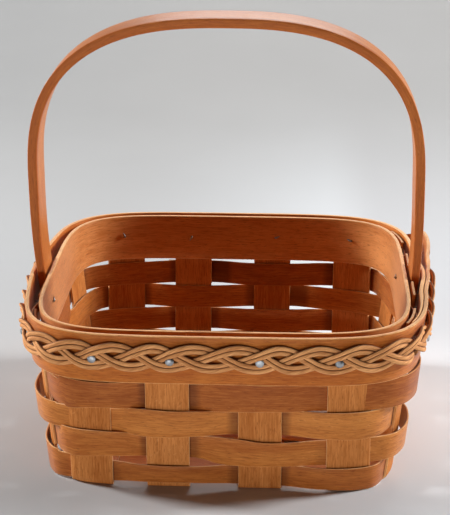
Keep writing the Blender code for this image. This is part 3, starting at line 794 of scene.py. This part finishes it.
def edge_curve(front_spots, height, lift, seed, last=0.0):
    """(angle, lift) places round one edge; last is added at the upright by the front left corner."""
    curve = []
    for x, raised in front_spots:
        curve.append((angle_of(wall_at_side(FRONT, x * MM, height)), raised * MM))
    for index in range(SPLINTS_PER_SIDE, UPRIGHTS):
        side, along = upright(index)
        uneven = wobble(seed, index * UNEVENNESS_STEP, 0.0, SIDE_UNEVENNESS)
        share = 0.0 if side == BACK else 1.0
        uneven += last if index == UPRIGHTS - 1 else 0.0
        curve.append((angle_of(wall_at_side(side, along, height)) % (2 * math.pi), lift * share + uneven))
    return sorted(curve)


def lift_at(curve, angle):
    """A smooth curve through the places of an edge: cubic pieces whose slopes agree."""
    turn = 2 * math.pi
    angle = curve[0][0] + (angle - curve[0][0]) % turn
    places = [(curve[-1][0] - turn, curve[-1][1]), *curve, (curve[0][0] + turn, curve[0][1]),
              (curve[1][0] + turn, curve[1][1])]
    step = next(i for i in range(1, len(places) - 2) if angle <= places[i + 1][0])
    (a0, h0), (a1, h1), (a2, h2), (a3, h3) = places[step - 1:step + 3]
    span = a2 - a1
    return curve_between(h1, h2, (h2 - h0) / (a2 - a0) * span, (h3 - h1) / (a3 - a1) * span,
                         (angle - a1) / span)


spots_given = sum(len(edge) for pair in FRONT_EDGES.values() for edge in pair)
print("Places given on the front edges:", spots_given)

# %% Weave the rows
for row in range(1, ROWS + 1):
    bottom = LOW_EDGE + (ROWS - row) * ROW_PITCH
    path = weaver_path(bottom + WEAVER_HEIGHT / 2, lambda index, number=row: (index + number) % 2 == 1,
                       WEAVER_LAP_UPRIGHTS[row - 1], True, CORNER_SLACK[row - 1])
    top = bottom + WEAVER_HEIGHT
    last = LAST_UPRIGHT_DROP if row == ROWS else 0.0
    edges = (edge_curve(FRONT_EDGES[row][0], bottom, -SIDE_LIFT, row, last),
             edge_curve(FRONT_EDGES[row][1], top, SIDE_LIFT, row + ROWS))
    make_hoop(f"woven_weaver_{row}", f"weaver_row_{row}", FIRST_ROW + row - 1, path, bottom, top,
              WEAVER_THICKNESS, WEAVER_GRID_ROWS, WEAVER_EASE,
              shaded_weaver_face if row in SHADED_ROWS else weaver_face,
              WEAVER_UNEVENNESS, edges=edges)
path = weaver_path(RIM_HEIGHT - TOP_WEAVER_HEIGHT / 2, lambda index: index in TOP_WEAVER_OUTSIDE,
                   TOP_WEAVER_START, False)
make_hoop("woven_weaver_top", "top_weaver", TOP_WEAVER, path, RIM_HEIGHT - TOP_WEAVER_HEIGHT,
          RIM_HEIGHT - TOP_WEAVER_DROP, WEAVER_THICKNESS, TOP_WEAVER_GRID_ROWS, WEAVER_EASE,
          weaver_face, TOP_WEAVER_UNEVENNESS)

# %% [markdown]
# ## Bands
#
# A wide band outside and another inside clamp the top of the wall.  The outer one swings out
# round each leg of the handle, and its last stretch lies over its first.  The ends of the
# inner one are thinned and lie over each other in a scarf, so its thickness changes there.

# %% Sizes of the bands
BAND_BOTTOM = 45.0 * MM
BAND_THICKNESS = 1.5 * MM
BAND_EASE = 0.3 * MM
BAND_BULGE = 2.4 * MM
BAND_HEIGHT = 19.0 * MM
BAND_GRID_ROWS = 8
BAND_UNEVENNESS = 0.05 * MM
LEFT_BULGE_REACH = 46.0 * MM
RIGHT_BULGE_REACH = 26.0 * MM
OUTER_LAP_START = -56.0 * MM
OUTER_LAP_END = 50.0 * MM
OUTER_LAP_RAMP = 24.0 * MM
LAP_FLARE = 7.4 * MM
LAP_FLARE_START = 2.0 * MM
LAP_FLARE_BOW_SHARE = 0.3
BRAID_REST_PAST_LAP = 1.0 * MM
BRAID_DROP_PAST_LAP = 8.0 * MM
SCARF_LENGTH = 24.0 * MM
SCARF_TIP = 0.3 * MM
TACK_HEIGHT = 55.0 * MM
WALL_FACE = WEAVE + WEAVER_THICKNESS / 2
BAND_INNER_FACE = WALL_FACE + CLEARANCE
BAND_STEPS = 360
print("The bands lie", round(2 * BAND_INNER_FACE / MM, 1), "mm apart")

# %% Bulges, laps and the loose end
def bulge_at(angle):
    """How far the outer band stands further out where it goes round a leg of the handle."""
    point = wall_at_angle(angle, TACK_HEIGHT)
    if abs(point.x) < RIM_HALF_X / 2:
        return 0.0
    reach = RIGHT_BULGE_REACH if point.x > 0 else LEFT_BULGE_REACH
    share = min(abs(point.y) / reach, 1.0)
    return BAND_BULGE * math.cos(share * math.pi / 2) ** 2


def angle_on_right(y):
    return angle_of(wall_at_side(RIGHT, y, TACK_HEIGHT))


def outer_ply(angle):
    """Thickness of the outer band, whose hidden start is thinned, for an angle walked."""
    share = (angle - angle_on_right(OUTER_LAP_START)) * RIM_HALF_X / SCARF_LENGTH
    return mix(SCARF_TIP, BAND_THICKNESS, min(max(share, 0.0), 1.0))


def outer_lap_lift(angle):
    """How far the outer band's last stretch lies over its first one, for an angle walked."""
    full = 2 * math.pi + angle_on_right(OUTER_LAP_START)
    ramp = full - OUTER_LAP_RAMP / RIM_HALF_X
    lift = outer_ply(angle - 2 * math.pi) + CLEARANCE
    return lift * smooth_step((angle - ramp) / (full - ramp))


def lap_flare(angle):
    """How far the loose end of the lap stands off at its top edge, for an angle walked."""
    start = angle_on_right(LAP_FLARE_START)
    share = (angle - 2 * math.pi - start) / (angle_on_right(OUTER_LAP_END) - start)
    share = min(max(share, 0.0), 1.0)
    return LAP_FLARE * share * (1.0 + LAP_FLARE_BOW_SHARE * (1.0 - share))


def lap_height(walked, height):
    """How far the lap's outer face lies outside the first ply's at a height."""
    return outer_lap_lift(walked) + lap_flare(walked) * (height - BAND_BOTTOM) / BAND_HEIGHT


def band_face(angle, height):
    """Outer face of the outer band, as a distance from the middle of the wall.

    Past the loose end of the lap it is the line that the braid takes down to the first ply.
    """
    end = angle_on_right(OUTER_LAP_END)
    past = (angle - end) % (2 * math.pi)
    drop = (past * RIM_HALF_X - BRAID_REST_PAST_LAP) / BRAID_DROP_PAST_LAP
    if drop < 1.0:
        lap = lap_height(end + 2 * math.pi, height) * (1.0 - smooth_step(drop))
    else:
        lap = lap_height(end + past, height)
    return BAND_INNER_FACE + BAND_THICKNESS + bulge_at(angle) + lap


print("The loose end stands off by mm:", LAP_FLARE / MM)

# %% Outer band
start = angle_on_right(OUTER_LAP_START)
end = 2 * math.pi + angle_on_right(OUTER_LAP_END)
path = []
faces = []
for step in range(BAND_STEPS + 1):
    angle = mix(start, end, step / BAND_STEPS)
    inner = BAND_INNER_FACE + bulge_at(angle) + outer_lap_lift(angle)
    path.append((angle, inner + BAND_THICKNESS / 2))
    faces.append((inner, inner + outer_ply(angle)))
make_hoop("rim_band_outside", "outer_band", OUTER_BAND, path, BAND_BOTTOM, RIM_HEIGHT,
          BAND_THICKNESS, BAND_GRID_ROWS, BAND_EASE, outer_band_face, BAND_UNEVENNESS, faces,
          flare=lap_flare)

# %% Inner band
start = angle_of(wall_at_side(FRONT, -SCARF_LENGTH / 2, TACK_HEIGHT))
reach = angle_of(wall_at_side(FRONT, SCARF_LENGTH / 2, TACK_HEIGHT)) - start
thick = BAND_THICKNESS - CLEARANCE - SCARF_TIP
path = []
faces = []
for step in range(BAND_STEPS + 1):
    angle = mix(start, start + 2 * math.pi + reach, step / BAND_STEPS)
    first = min((angle - start) / reach, 1.0)
    last = min(max((angle - start - 2 * math.pi) / reach, 0.0), 1.0)
    inner = -BAND_INNER_FACE - BAND_THICKNESS
    outer = -BAND_INNER_FACE
    if first < 1.0:
        inner = outer - mix(SCARF_TIP, thick, first)
    if last > 0.0:
        outer = inner + mix(thick, SCARF_TIP, last)
    path.append((angle, (inner + outer) / 2))
    faces.append((inner, outer))
make_hoop("rim_band_inside", "inner_band", INNER_BAND, path, BAND_BOTTOM, RIM_HEIGHT,
          BAND_THICKNESS, BAND_GRID_ROWS, BAND_EASE, inner_band_painted_light, BAND_UNEVENNESS, faces)

# %% [markdown]
# ## Handle
#
# The handle is one thick strip, steamed and bent.  Its legs go down between the bands.  Above the
# rim they lean out over more than a third of the height and then meet in a flat arch.  A curve
# of a few named sizes gives the middle line: a straight foot, a cubic that leans out and a
# quarter of a superellipse, all mirrored.  The flat strip is bent along it like the others.

# %% Sizes of the handle
HANDLE_WIDTH = 18.4 * MM
HANDLE_THICKNESS = 3.75 * MM
LEG_THICKNESS = 3.25 * MM
HANDLE_RISE = 101.2 * MM
HANDLE_SPRING = 39.0 * MM
HANDLE_HALF_SPAN = 76.5 * MM
HANDLE_ROUNDNESS = 2.62
HANDLE_LEAN = -0.8 * MM
HANDLE_SWAY = -0.5 * MM
HANDLE_EASE = 0.55 * MM
LEG_INSET = 1.5 * MM
FOOT_STEPS = 4
SPRING_STEPS = 24
ARCH_STEPS = 72
HANDLE_GRID_ROWS = 6
print("Top of the handle in mm:", round((RIM_HEIGHT + HANDLE_RISE) / MM, 1))

# %% Middle line of the handle
def handle_line():
    """Middle line of the right half of the handle, from the leg's foot to the top."""
    span = HANDLE_HALF_SPAN - HANDLE_THICKNESS / 2
    flare = (RIM_HALF_X - BASE_HALF_X) / RIM_HEIGHT
    foot = BAND_BOTTOM + LEG_INSET
    rim_x = RIM_HALF_X - WEAVE + WEAVER_THICKNESS / 2 + CLEARANCE + LEG_THICKNESS / 2
    line = []
    for step in range(FOOT_STEPS):
        height = mix(foot, RIM_HEIGHT, step / FOOT_STEPS)
        line.append((rim_x - flare * (RIM_HEIGHT - height), height))
    for step in range(SPRING_STEPS):
        share = step / SPRING_STEPS
        line.append((curve_between(rim_x, span, flare * HANDLE_SPRING, 0.0, share),
                     RIM_HEIGHT + HANDLE_SPRING * share))
    height = HANDLE_RISE - HANDLE_SPRING - HANDLE_THICKNESS / 2
    power = 2.0 / HANDLE_ROUNDNESS
    for step in range(ARCH_STEPS + 1):
        swing = math.pi / 2 * step / ARCH_STEPS
        line.append((span * max(math.cos(swing), 0.0) ** power,
                     RIM_HEIGHT + HANDLE_SPRING + height * math.sin(swing) ** power))
    return line


line = handle_line()
line += [(-x, z) for x, z in reversed(line[:-1])]
runs = distances_along(line)
print("Length of the handle's strip in mm:", round(runs[-1] / MM))

# %% Bend the handle
def on_handle(x, y, z):
    step, share = place_on(runs, x)
    turns = []
    for joint in (step, step + 1):
        before = line[max(joint - 1, 0)]
        after = line[min(joint + 1, len(line) - 1)]
        turns.append(Vector((after[0] - before[0], 0.0, after[1] - before[1])).normalized())
    along = turns[0].lerp(turns[1], share).normalized()
    centre_x = mix(line[step][0], line[step + 1][0], share)
    centre_z = mix(line[step][1], line[step + 1][1], share)
    rise = max(centre_z - RIM_HEIGHT, 0.0) / HANDLE_RISE
    shift = HANDLE_LEAN * rise + HANDLE_SWAY * math.sin(min(rise, 1.0) * math.pi)
    thickness = mix(LEG_THICKNESS, HANDLE_THICKNESS, smooth_step((centre_z - RIM_HEIGHT) / HANDLE_SPRING))
    out = Vector((along.z, 0.0, -along.x))
    return Vector((centre_x + shift, -y, centre_z)) + out * (z * thickness / HANDLE_THICKNESS)


strip = cut_strip("bentwood_handle", runs, HANDLE_WIDTH, HANDLE_THICKNESS, HANDLE_GRID_ROWS,
                  HANDLE_EASE, handle_face, HANDLE, handle_edge)
stand_for(bend(strip, on_handle), "handle")

# %% [markdown]
# ## Cord braid
#
# The braid is flat, with three plies of two cords each.  A ply swings from edge to edge like a
# sine and rises and sinks twice as often, which takes it over one neighbour and under the other.
# Twelve whole swings go round, so two of the plies meet their own starts and are closed rings.
# The other one ends at the front right corner, where its two cords are one cord turned back.
# Each is a grid primitive rolled into a slightly flattened tube.

# %% Cord finish
CORD_FIBRE = (190.0, 9.0, 1.0)
CORD_TONE = (25.0, 1.0, 1.0)
CORD_RELIEF = 0.3 * MM

cord = Finish("matte_cord")
place = cord.node("ShaderNodeTexCoord", {}, {}, "UV")
fibre = cord.noise(place, CORD_FIBRE, 3.0, 0.6)
tone = cord.noise(place, CORD_TONE, 2.0)
body = cord.steps(fibre * 0.6 + tone * 0.4, 0.36, 0.66)
# Painted shade: each cord is darker along both its sides, where it meets its neighbour.
shade_mask = cord.node("ShaderNodeAttribute", {"attribute_name": SHADE_ATTRIBUTE}, {}, "Fac")
colour = cord.blend(body, paint(190, 122, 66), paint(234, 168, 106))
cord.set(Base_Color=cord.blend(shade_mask * 0.8, colour, paint(84, 44, 16)), Roughness=0.85,
         Normal=cord.bump(fibre, 0.5, CORD_RELIEF))
cord_finish = cord.material
print("Cord finish:", cord_finish.name)

# %% Sizes of the braid
BRAID_SWING = 3.75 * MM
BRAID_WAVE = 0.8 * MM
BRAID_TILT = 0.1
PLIES = 3
CORDS_PER_PLY = 2
CORD_HALF_WIDTH = 0.96 * MM
CORD_HALF_THICKNESS = 0.7 * MM
CORD_SPACING = 1.95 * MM
CORD_TWIST = 1 / (22.0 * MM)
CORD_SIDES = 16
EDGE_PRESS = 0.25 * MM
EYES_ALONG_SIDE = 2
EYES_ROUND_CORNER = 3
LOOSE_PLY = 0
LOOSE_PLY_START = 2.35
LOOSE_PLY_END = 38.05
TURN_STEPS = 8
EYE_LENGTH = 13.0 * MM
SQUEEZE = 0.5
SQUEEZE_FROM = 6.0 * MM
SQUEEZE_FULL = 20.0 * MM
SQUEEZE_END = 60.0 * MM
BRAID_START_SHARE = 1 / 12
BRAID_LEVEL = 0.05 * MM + BRAID_WAVE + CORD_HALF_THICKNESS
TACK_EYE_DROP = 0.9 * MM
STATIONS_PER_EYE = 12
FRONT_TACK_SHARES = (0.2, 0.1, 0.0, -0.3)
BACK_TACK_SHARES = (0.04, 0.08, -0.04, -0.08)
MERGE_REACH = 0.01 * MM
GRAIN_PER_PLY = 0.7
GRAIN_ACROSS = 50.0
print("The braid swings over mm:", 2 * BRAID_SWING / MM)

# %% Tacks as marks of the braid
def tack_places():
    """Where each tack goes: its name, its side and its place along that side."""
    places = []
    for index in range(UPRIGHTS):
        side, along = upright(index)
        if side == FRONT:
            along += FRONT_TACK_SHARES[index % SPLINTS_PER_SIDE] * SPLINT_WIDTH
        if side == BACK:
            along += BACK_TACK_SHARES[index % SPLINTS_PER_SIDE] * SPLINT_WIDTH
        places.append((f"tack_{index + 1:02d}", side, along))
    places.append(("handle_tack_right", RIGHT, 0.0))
    places.append(("handle_tack_left", LEFT, 0.0))
    return places


def braid_marks():
    """Angles of the tacks in walking order, each with the number of eyes passed so far."""
    marks = []
    eyes = 0
    places = tack_places()
    for index in range(SPLINTS_PER_SIDE - 1, SPLINTS_PER_SIDE + 1 + UPRIGHTS):
        side, along = places[index % UPRIGHTS][1:]
        angle = angle_of(wall_at_side(side, along, TACK_HEIGHT))
        if marks:
            angle = marks[-1][0] + (angle - marks[-1][0]) % (2 * math.pi)
            eyes += EYES_ROUND_CORNER if index % SPLINTS_PER_SIDE == 0 else EYES_ALONG_SIDE
        marks.append((angle, eyes))
    return marks


marks = braid_marks()
print("Eyes of the braid once round:", marks[-2][1])

# %% Place of a ply
def angle_of_eye(eyes):
    """Direction of a place of the braid, which keeps its eyes at the tacks."""
    for (angle, count), (next_angle, next_count) in zip(marks, marks[1:]):
        if eyes <= next_count:
            return mix(angle, next_angle, (eyes - count) / (next_count - count))
    return marks[-1][0]


def squeeze_at(angle):
    """How much flatter the braid lies where it is pulled tight over the band's loose end."""
    point = wall_at_angle(angle, TACK_HEIGHT)
    if point.x < RIM_HALF_X / 2:
        return 1.0
    over = smooth_step((point.y - SQUEEZE_FROM) / (SQUEEZE_FULL - SQUEEZE_FROM))
    over *= 1.0 - smooth_step((point.y - SQUEEZE_END) / (RIM_HALF_Y - SQUEEZE_END))
    return mix(1.0, SQUEEZE, over)


def on_ply(eyes, number, across, depth):
    """A point of a ply: across its width and out of the band, at a count of eyes."""
    angle = angle_of_eye(eyes)
    phase = 2 * math.pi * (BRAID_START_SHARE + (eyes + number) / PLIES)
    height = TACK_HEIGHT + TACK_EYE_DROP + BRAID_SWING * math.sin(phase) + across
    rise = BRAID_LEVEL + BRAID_WAVE * math.sin(2 * phase) + across * BRAID_TILT * math.cos(phase) + depth
    rise -= EDGE_PRESS * math.sin(phase) ** 4
    return wall_at_angle(angle, height, band_face(angle, height) + squeeze_at(angle) * rise)


print("Start of ply 1 in mm:", [round(c / MM, 1) for c in on_ply(0.0, 0, 0.0, 0.0)])

# %% Lines of the cords
def ring_line(across):
    """Places of a closed cord's middle: eyes passed, distance across the ply, and its turn."""
    count = marks[-2][1] * STATIONS_PER_EYE
    return [(step / STATIONS_PER_EYE, across, 0.0) for step in range(count + 1)]


def turned_back_line():
    """A cord that goes all the way round, turns back in a tight bend and lies beside itself."""
    count = round((LOOSE_PLY_END - LOOSE_PLY_START) * STATIONS_PER_EYE)
    out = [mix(LOOSE_PLY_START, LOOSE_PLY_END, step / count) for step in range(count + 1)]
    half = CORD_SPACING / 2
    line = [(eyes, -half, 0.0) for eyes in out]
    for step in range(1, TURN_STEPS):
        turn = math.pi * step / TURN_STEPS
        line.append((LOOSE_PLY_END + half * math.sin(turn) / EYE_LENGTH, -half * math.cos(turn), turn))
    return line + [(eyes, half, math.pi) for eyes in reversed(out)]


print("Stations of the turned-back cord:", len(turned_back_line()))

# %% Roll the cords
def make_cord(name, number, line):
    """One cord along its middle line: a grid rolled into a tube."""
    count = len(line) - 1
    tube = flat_grid(name, count, CORD_SIDES)
    runs = distances_along([on_ply(eyes, number, across, 0.0) for eyes, across, _ in line])
    # Painted shade along both sides of the cord.
    mark_painted_shade(tube, lambda x, y, z: painted_shade_at(abs(math.sin(2 * math.pi * (y + 0.5)))))
    chart = tube.data.uv_layers.active.data
    for loop in tube.data.loops:
        x, y, _ = tube.data.vertices[loop.vertex_index].co
        run = runs[round((x + 0.5) * count)]
        chart[loop.index].uv = (run + number * GRAIN_PER_PLY + line[0][1] * GRAIN_ACROSS,
                                y + 0.5 + run * CORD_TWIST)
    for point in tube.data.vertices:
        eyes, across, turn = line[round((point.co.x + 0.5) * count)]
        swing = 2 * math.pi * (point.co.y + 0.5)
        wide = CORD_HALF_WIDTH * math.sin(swing)
        point.co = on_ply(eyes - wide * math.sin(turn) / EYE_LENGTH, number,
                          across + wide * math.cos(turn), -CORD_HALF_THICKNESS * math.cos(swing))
    tube.data.materials.append(cord_finish)
    bpy.ops.object.mode_set(mode="EDIT")
    bpy.ops.mesh.select_all(action="SELECT")
    bpy.ops.mesh.remove_doubles(threshold=MERGE_REACH)
    bpy.ops.mesh.select_all(action="DESELECT")
    bpy.ops.mesh.select_non_manifold()
    bpy.ops.mesh.fill_holes(sides=0)
    bpy.ops.mesh.select_all(action="SELECT")
    bpy.ops.mesh.normals_make_consistent(inside=False)
    bpy.ops.object.mode_set(mode="OBJECT")
    return tube


for number in range(PLIES):
    if number == LOOSE_PLY:
        cords = [make_cord("braid_cord_turned", number, turned_back_line())]
    else:
        cords = []
        for strand in range(CORDS_PER_PLY):
            line = ring_line((strand - 0.5) * CORD_SPACING)
            cords.append(make_cord(f"braid_cord_{number}_{strand}", number, line))
    bpy.ops.object.select_all(action="DESELECT")
    for tube in cords:
        tube.select_set(True)
    bpy.context.view_layer.objects.active = cords[0]
    if len(cords) > 1:
        bpy.ops.object.join()
    cords[0].name = f"braid_cords_{number + 1}"
    stand_for(finish_piece(cords[0]), f"braid_ply_{number + 1}")

# %% [markdown]
# ## Tacks
#
# A small steel tack with a domed head goes through the braid, both bands and an upright, and its
# point is bent over inside, except where a shorter one ends in the inner band.  One is modelled
# from a cylinder primitive and copied.

# %% Tack finish
SCRATCH = (900.0, 900.0, 2600.0)
TARNISH = (260.0, 260.0, 260.0)
SCRATCH_RELIEF = 0.1 * MM

steel = Finish("brushed_steel")
place = steel.node("ShaderNodeTexCoord", {}, {}, "Object")
scratch = steel.noise(place, SCRATCH, 3.0, 0.6)
tarnish = steel.noise(place, TARNISH, 2.0)
dull = steel.steps(tarnish, 0.4, 0.7)
steel.set(Base_Color=steel.blend(dull, paint(176, 178, 181), paint(92, 92, 94)), Metallic=1.0,
          Roughness=0.3 + scratch * 0.25, Normal=steel.bump(scratch, 0.1, SCRATCH_RELIEF))
steel_finish = steel.material
print("Tack finish:", steel_finish.name)

# %% Sizes of a tack
HEAD_RADIUS = 1.55 * MM
HEAD_RIM = 0.28 * MM
HEAD_SIDES = 14
DOME = ((0.16 * MM, 0.88), (0.14 * MM, 0.72), (0.09 * MM, 0.6), (0.04 * MM, 0.4))
HEAD_TOP = 0.2 * MM
HEAD_LUMP = MM / 1.2
HEAD_UNEVENNESS = 0.12 * MM
TACK_TURN = 2.4
SHANK_RADIUS = 0.45 * MM
SHANK_LENGTH = 6.0 * MM
POINT_BEND = 0.55 * MM
BEND_STEPS = 4
BEND_STEP = math.radians(20.0)
POINT = ((0.8 * MM, 0.75), (0.8 * MM, 0.35))
POINT_RISE = 0.12 * MM
POINT_GAP = 0.05 * MM
TACK_SEAT_SHARE = 0.74
SHORTER_BY = 1.6 * MM
SHORT_TACKS = ("tack_05", "tack_06", "tack_08", "tack_13", "tack_14", "tack_16", "handle_tack_right",
               "handle_tack_left")
TACK_HEAD_REACH = 1.6 * MM
BRAID_THICKNESS = 2.7 * MM
INSIDE_FACE = BAND_INNER_FACE + BAND_THICKNESS
print("Width of a tack's head in mm:", 2 * HEAD_RADIUS / MM)

# %% Seat of a tack
def seat_of(side, along):
    """How far out of the wall's middle the underside of a tack's head lies."""
    angle = angle_of(wall_at_side(side, along, TACK_HEIGHT))
    face = band_face(angle, TACK_HEIGHT + TACK_HEAD_REACH)
    return face + CLEARANCE + TACK_SEAT_SHARE * BRAID_THICKNESS * squeeze_at(angle)


def tack_axis(side, along):
    """Matrix of a tack: its Z points out of the wall, from the middle of the wall."""
    middle = wall_at_side(side, along, TACK_HEIGHT)
    out = (wall_at_side(side, along, TACK_HEIGHT, BAND_THICKNESS) - middle).normalized()
    turn = out.to_track_quat("Z", "Y").to_matrix().to_4x4()
    return Matrix.Translation(middle) @ turn


print("Seat of the front left tack in mm:", round(seat_of(*tack_places()[0][1:]) / MM, 2))

# %% Pattern tack
def select_cap(piece, normal_z):
    """Select the flat end of the turned pattern that faces up or down."""
    bpy.ops.mesh.select_all(action="DESELECT")
    bpy.ops.object.mode_set(mode="OBJECT")
    ends = [face for face in piece.data.polygons if face.normal.z * normal_z > 0.9]
    end = max(ends, key=lambda face: face.center.z * normal_z)
    for face in piece.data.polygons:
        face.select = face.index == end.index
    bpy.ops.object.mode_set(mode="EDIT")


def extrude(x, y, z):
    bpy.ops.mesh.extrude_region_move(TRANSFORM_OT_translate={"value": (x, y, z)})


bpy.ops.object.select_all(action="DESELECT")
bpy.ops.mesh.primitive_cylinder_add(vertices=HEAD_SIDES, radius=HEAD_RADIUS, depth=HEAD_RIM,
                                    location=(0.0, 0.0, HEAD_RIM / 2))
pattern = bpy.context.object
pattern.name = "tack_pattern"
bpy.ops.object.transform_apply(location=True, rotation=True, scale=True)
bpy.ops.object.mode_set(mode="EDIT")
bpy.ops.mesh.select_mode(type="FACE")
select_cap(pattern, 1.0)
level = HEAD_RIM
for rise, shrink in DOME:
    level += rise
    extrude(0.0, 0.0, rise)
    bpy.ops.transform.resize(value=(shrink, shrink, 1.0), center_override=(0.0, 0.0, level))
select_cap(pattern, -1.0)
bpy.ops.mesh.inset(thickness=HEAD_RADIUS - SHANK_RADIUS)
extrude(0.0, 0.0, -SHANK_LENGTH)
for _ in range(BEND_STEPS):
    extrude(0.0, 0.0, 0.0)
    bpy.ops.transform.rotate(value=BEND_STEP, orient_axis="Y",
                             center_override=(POINT_BEND, 0.0, -SHANK_LENGTH))
for reach, shrink in POINT:
    extrude(reach, 0.0, POINT_RISE)
    bpy.ops.transform.resize(value=(shrink, shrink, shrink))
bpy.ops.object.mode_set(mode="OBJECT")
heights = [point.co.z / MM for point in pattern.data.vertices]
print("Pattern tack from", round(min(heights), 2), "to", round(max(heights), 2), "mm")

# %% Copy the tacks
for count, (name, side, along) in enumerate(tack_places()):
    seat = seat_of(side, along)
    pick(pattern)
    bpy.ops.object.duplicate(linked=False)
    tack = bpy.context.object
    tack.name = f"steel_{name}"
    stretch = seat + INSIDE_FACE + POINT_GAP - SHANK_LENGTH
    if name in SHORT_TACKS:
        stretch -= SHORTER_BY
    for point in tack.data.vertices:
        if point.co.z < -SHANK_LENGTH / 2:
            point.co.z -= stretch
        if point.co.z > HEAD_TOP:
            point.co.z += wobble(count, point.co.x, point.co.y, HEAD_UNEVENNESS, HEAD_LUMP)
    tack.data.transform(Matrix.Rotation(count * TACK_TURN, 4, "Z"))
    tack.data.transform(tack_axis(side, along) @ Matrix.Translation((0.0, 0.0, seat)))
    tack.data.materials.clear()
    tack.data.materials.append(steel_finish)
    stand_for(finish_piece(tack), name)
bpy.data.objects.remove(pattern, do_unlink=True)

# %% [markdown]
# ## Studio
#
# The basket stands on a pale sweep: a floor that curves up into a backdrop, so no corner shows
# behind it.  A soft lamp stands on each side, a little behind the basket, so its front throws a
# short shadow towards the viewer.  A third stands high at the back and makes the sheen on top of
# the handle.  The fourth is a long, low one in front: it lights the rows of the front and hardly
# reaches the inside.

# %% Paper
backdrop = Finish("pale_paper")
place = backdrop.node("ShaderNodeTexCoord", {}, {}, "Object")
mottle = backdrop.noise(place, (9.0, 9.0, 9.0), 3.0)
spot = backdrop.node("ShaderNodeSeparateXYZ", {}, {0: place}, "Y")
across = Signal(backdrop, spot.socket.node.outputs["X"])
# Painted shade: the paper is darker from behind the basket up the backdrop.
far_painted_shade = backdrop.steps(spot, 0.1, 0.6)
# Painted light: the floor is lighter towards the right.
painted_light_right = backdrop.steps(across, -0.09, 0.11)
near_tone = backdrop.blend(painted_light_right, paint(176, 177, 178), paint(228, 232, 236))
# Painted shade: the floor is darker to the right of and behind the basket.
painted_shade_right_back = backdrop.steps(spot, 0.02, 0.12) * backdrop.steps(across, 0.04, 0.075)
near_tone = backdrop.blend(painted_shade_right_back, near_tone, paint(200, 201, 204))
# Painted light: the floor is lighter near the front.
painted_light_front = backdrop.steps(0.0 - spot, 0.07, 0.13)
near_tone = backdrop.blend(painted_light_front * 0.75, near_tone, paint(250, 252, 254))
# Painted light: the backdrop is a little lighter towards the right.
far_painted_light_right = backdrop.steps(across, -0.25, 0.0)
far_tone = backdrop.blend(far_painted_light_right, paint(152, 152, 152), paint(161, 160, 159))
paper = backdrop.blend(far_painted_shade, near_tone, far_tone)
backdrop.set(Base_Color=backdrop.blend(mottle * 0.06, paper, paint(255, 255, 255)), Roughness=0.9)
print("Nodes of the paper:", len(backdrop.tree.nodes))

# %% Sweep
SWEEP_HALF = 2.2
SWEEP_BACK = 1.3
SWEEP_HIGH = 2.6
SWEEP_BEND = 0.9
SWEEP_SEGMENTS = 16

bpy.ops.object.select_all(action="DESELECT")
bpy.ops.mesh.primitive_plane_add(size=1.0)
floor = bpy.context.object
floor.name = "sweep_floor"
for point in floor.data.vertices:
    point.co.x *= 2 * SWEEP_HALF
    point.co.y = SWEEP_BACK if point.co.y > 0 else -SWEEP_HALF
bpy.ops.object.mode_set(mode="EDIT")
bpy.ops.mesh.select_mode(type="EDGE")
bpy.ops.mesh.select_all(action="DESELECT")
bpy.ops.object.mode_set(mode="OBJECT")
for edge in floor.data.edges:
    edge.select = all(floor.data.vertices[i].co.y > 0 for i in edge.vertices)
bpy.ops.object.mode_set(mode="EDIT")
extrude(0.0, 0.0, SWEEP_HIGH)
bpy.ops.object.mode_set(mode="OBJECT")
for edge in floor.data.edges:
    ends = [floor.data.vertices[i].co for i in edge.vertices]
    edge.select = all(abs(end.z) < MM and end.y > 0 for end in ends)
bpy.ops.object.mode_set(mode="EDIT")
bpy.ops.mesh.bevel(offset=SWEEP_BEND, segments=SWEEP_SEGMENTS)
bpy.ops.mesh.select_all(action="SELECT")
bpy.ops.mesh.normals_make_consistent(inside=False)
bpy.ops.object.mode_set(mode="OBJECT")
bpy.ops.object.shade_smooth()
floor.data.materials.append(backdrop.material)
print("Sweep faces:", len(floor.data.polygons))

# %% Lamps
MIDDLE = (0.0, 0.0, 0.07)
LOW_ROWS = (0.0, 0.0, 0.04)


def lamp(name, spot, size, power, aim_at=MIDDLE):
    bpy.ops.object.select_all(action="DESELECT")
    bpy.ops.object.light_add(type="AREA", location=spot)
    light = bpy.context.object
    light.name = name
    light.data.shape = "RECTANGLE"
    light.data.size, light.data.size_y = size
    light.data.energy = power
    light.rotation_euler = (Vector(aim_at) - Vector(spot)).to_track_quat("-Z", UPWARD).to_euler()


lamp("lamp_right", (1.0, 0.24, 0.5), (0.22, 0.35), 14.5)
lamp("lamp_left", (-1.0, 0.24, 0.5), (0.22, 0.35), 15.5)
lamp("lamp_back", (0.1, 1.15, 0.7), (0.7, 0.3), 5.8)
lamp("lamp_front", (-0.25, -1.6, 0.03), (1.4, 0.05), 8.6, LOW_ROWS)

# %% Faint light of the room
world = bpy.data.worlds.new("soft_room")
bpy.context.scene.world = world
world.use_nodes = True
room = world.node_tree.nodes["Background"]
room.inputs["Color"].default_value = (1.0, 0.97, 0.94, 1.0)
room.inputs["Strength"].default_value = 0.01
bpy.context.scene.view_settings.view_transform = "Standard"
print("Strength of the room's light:", round(room.inputs["Strength"].default_value, 3))
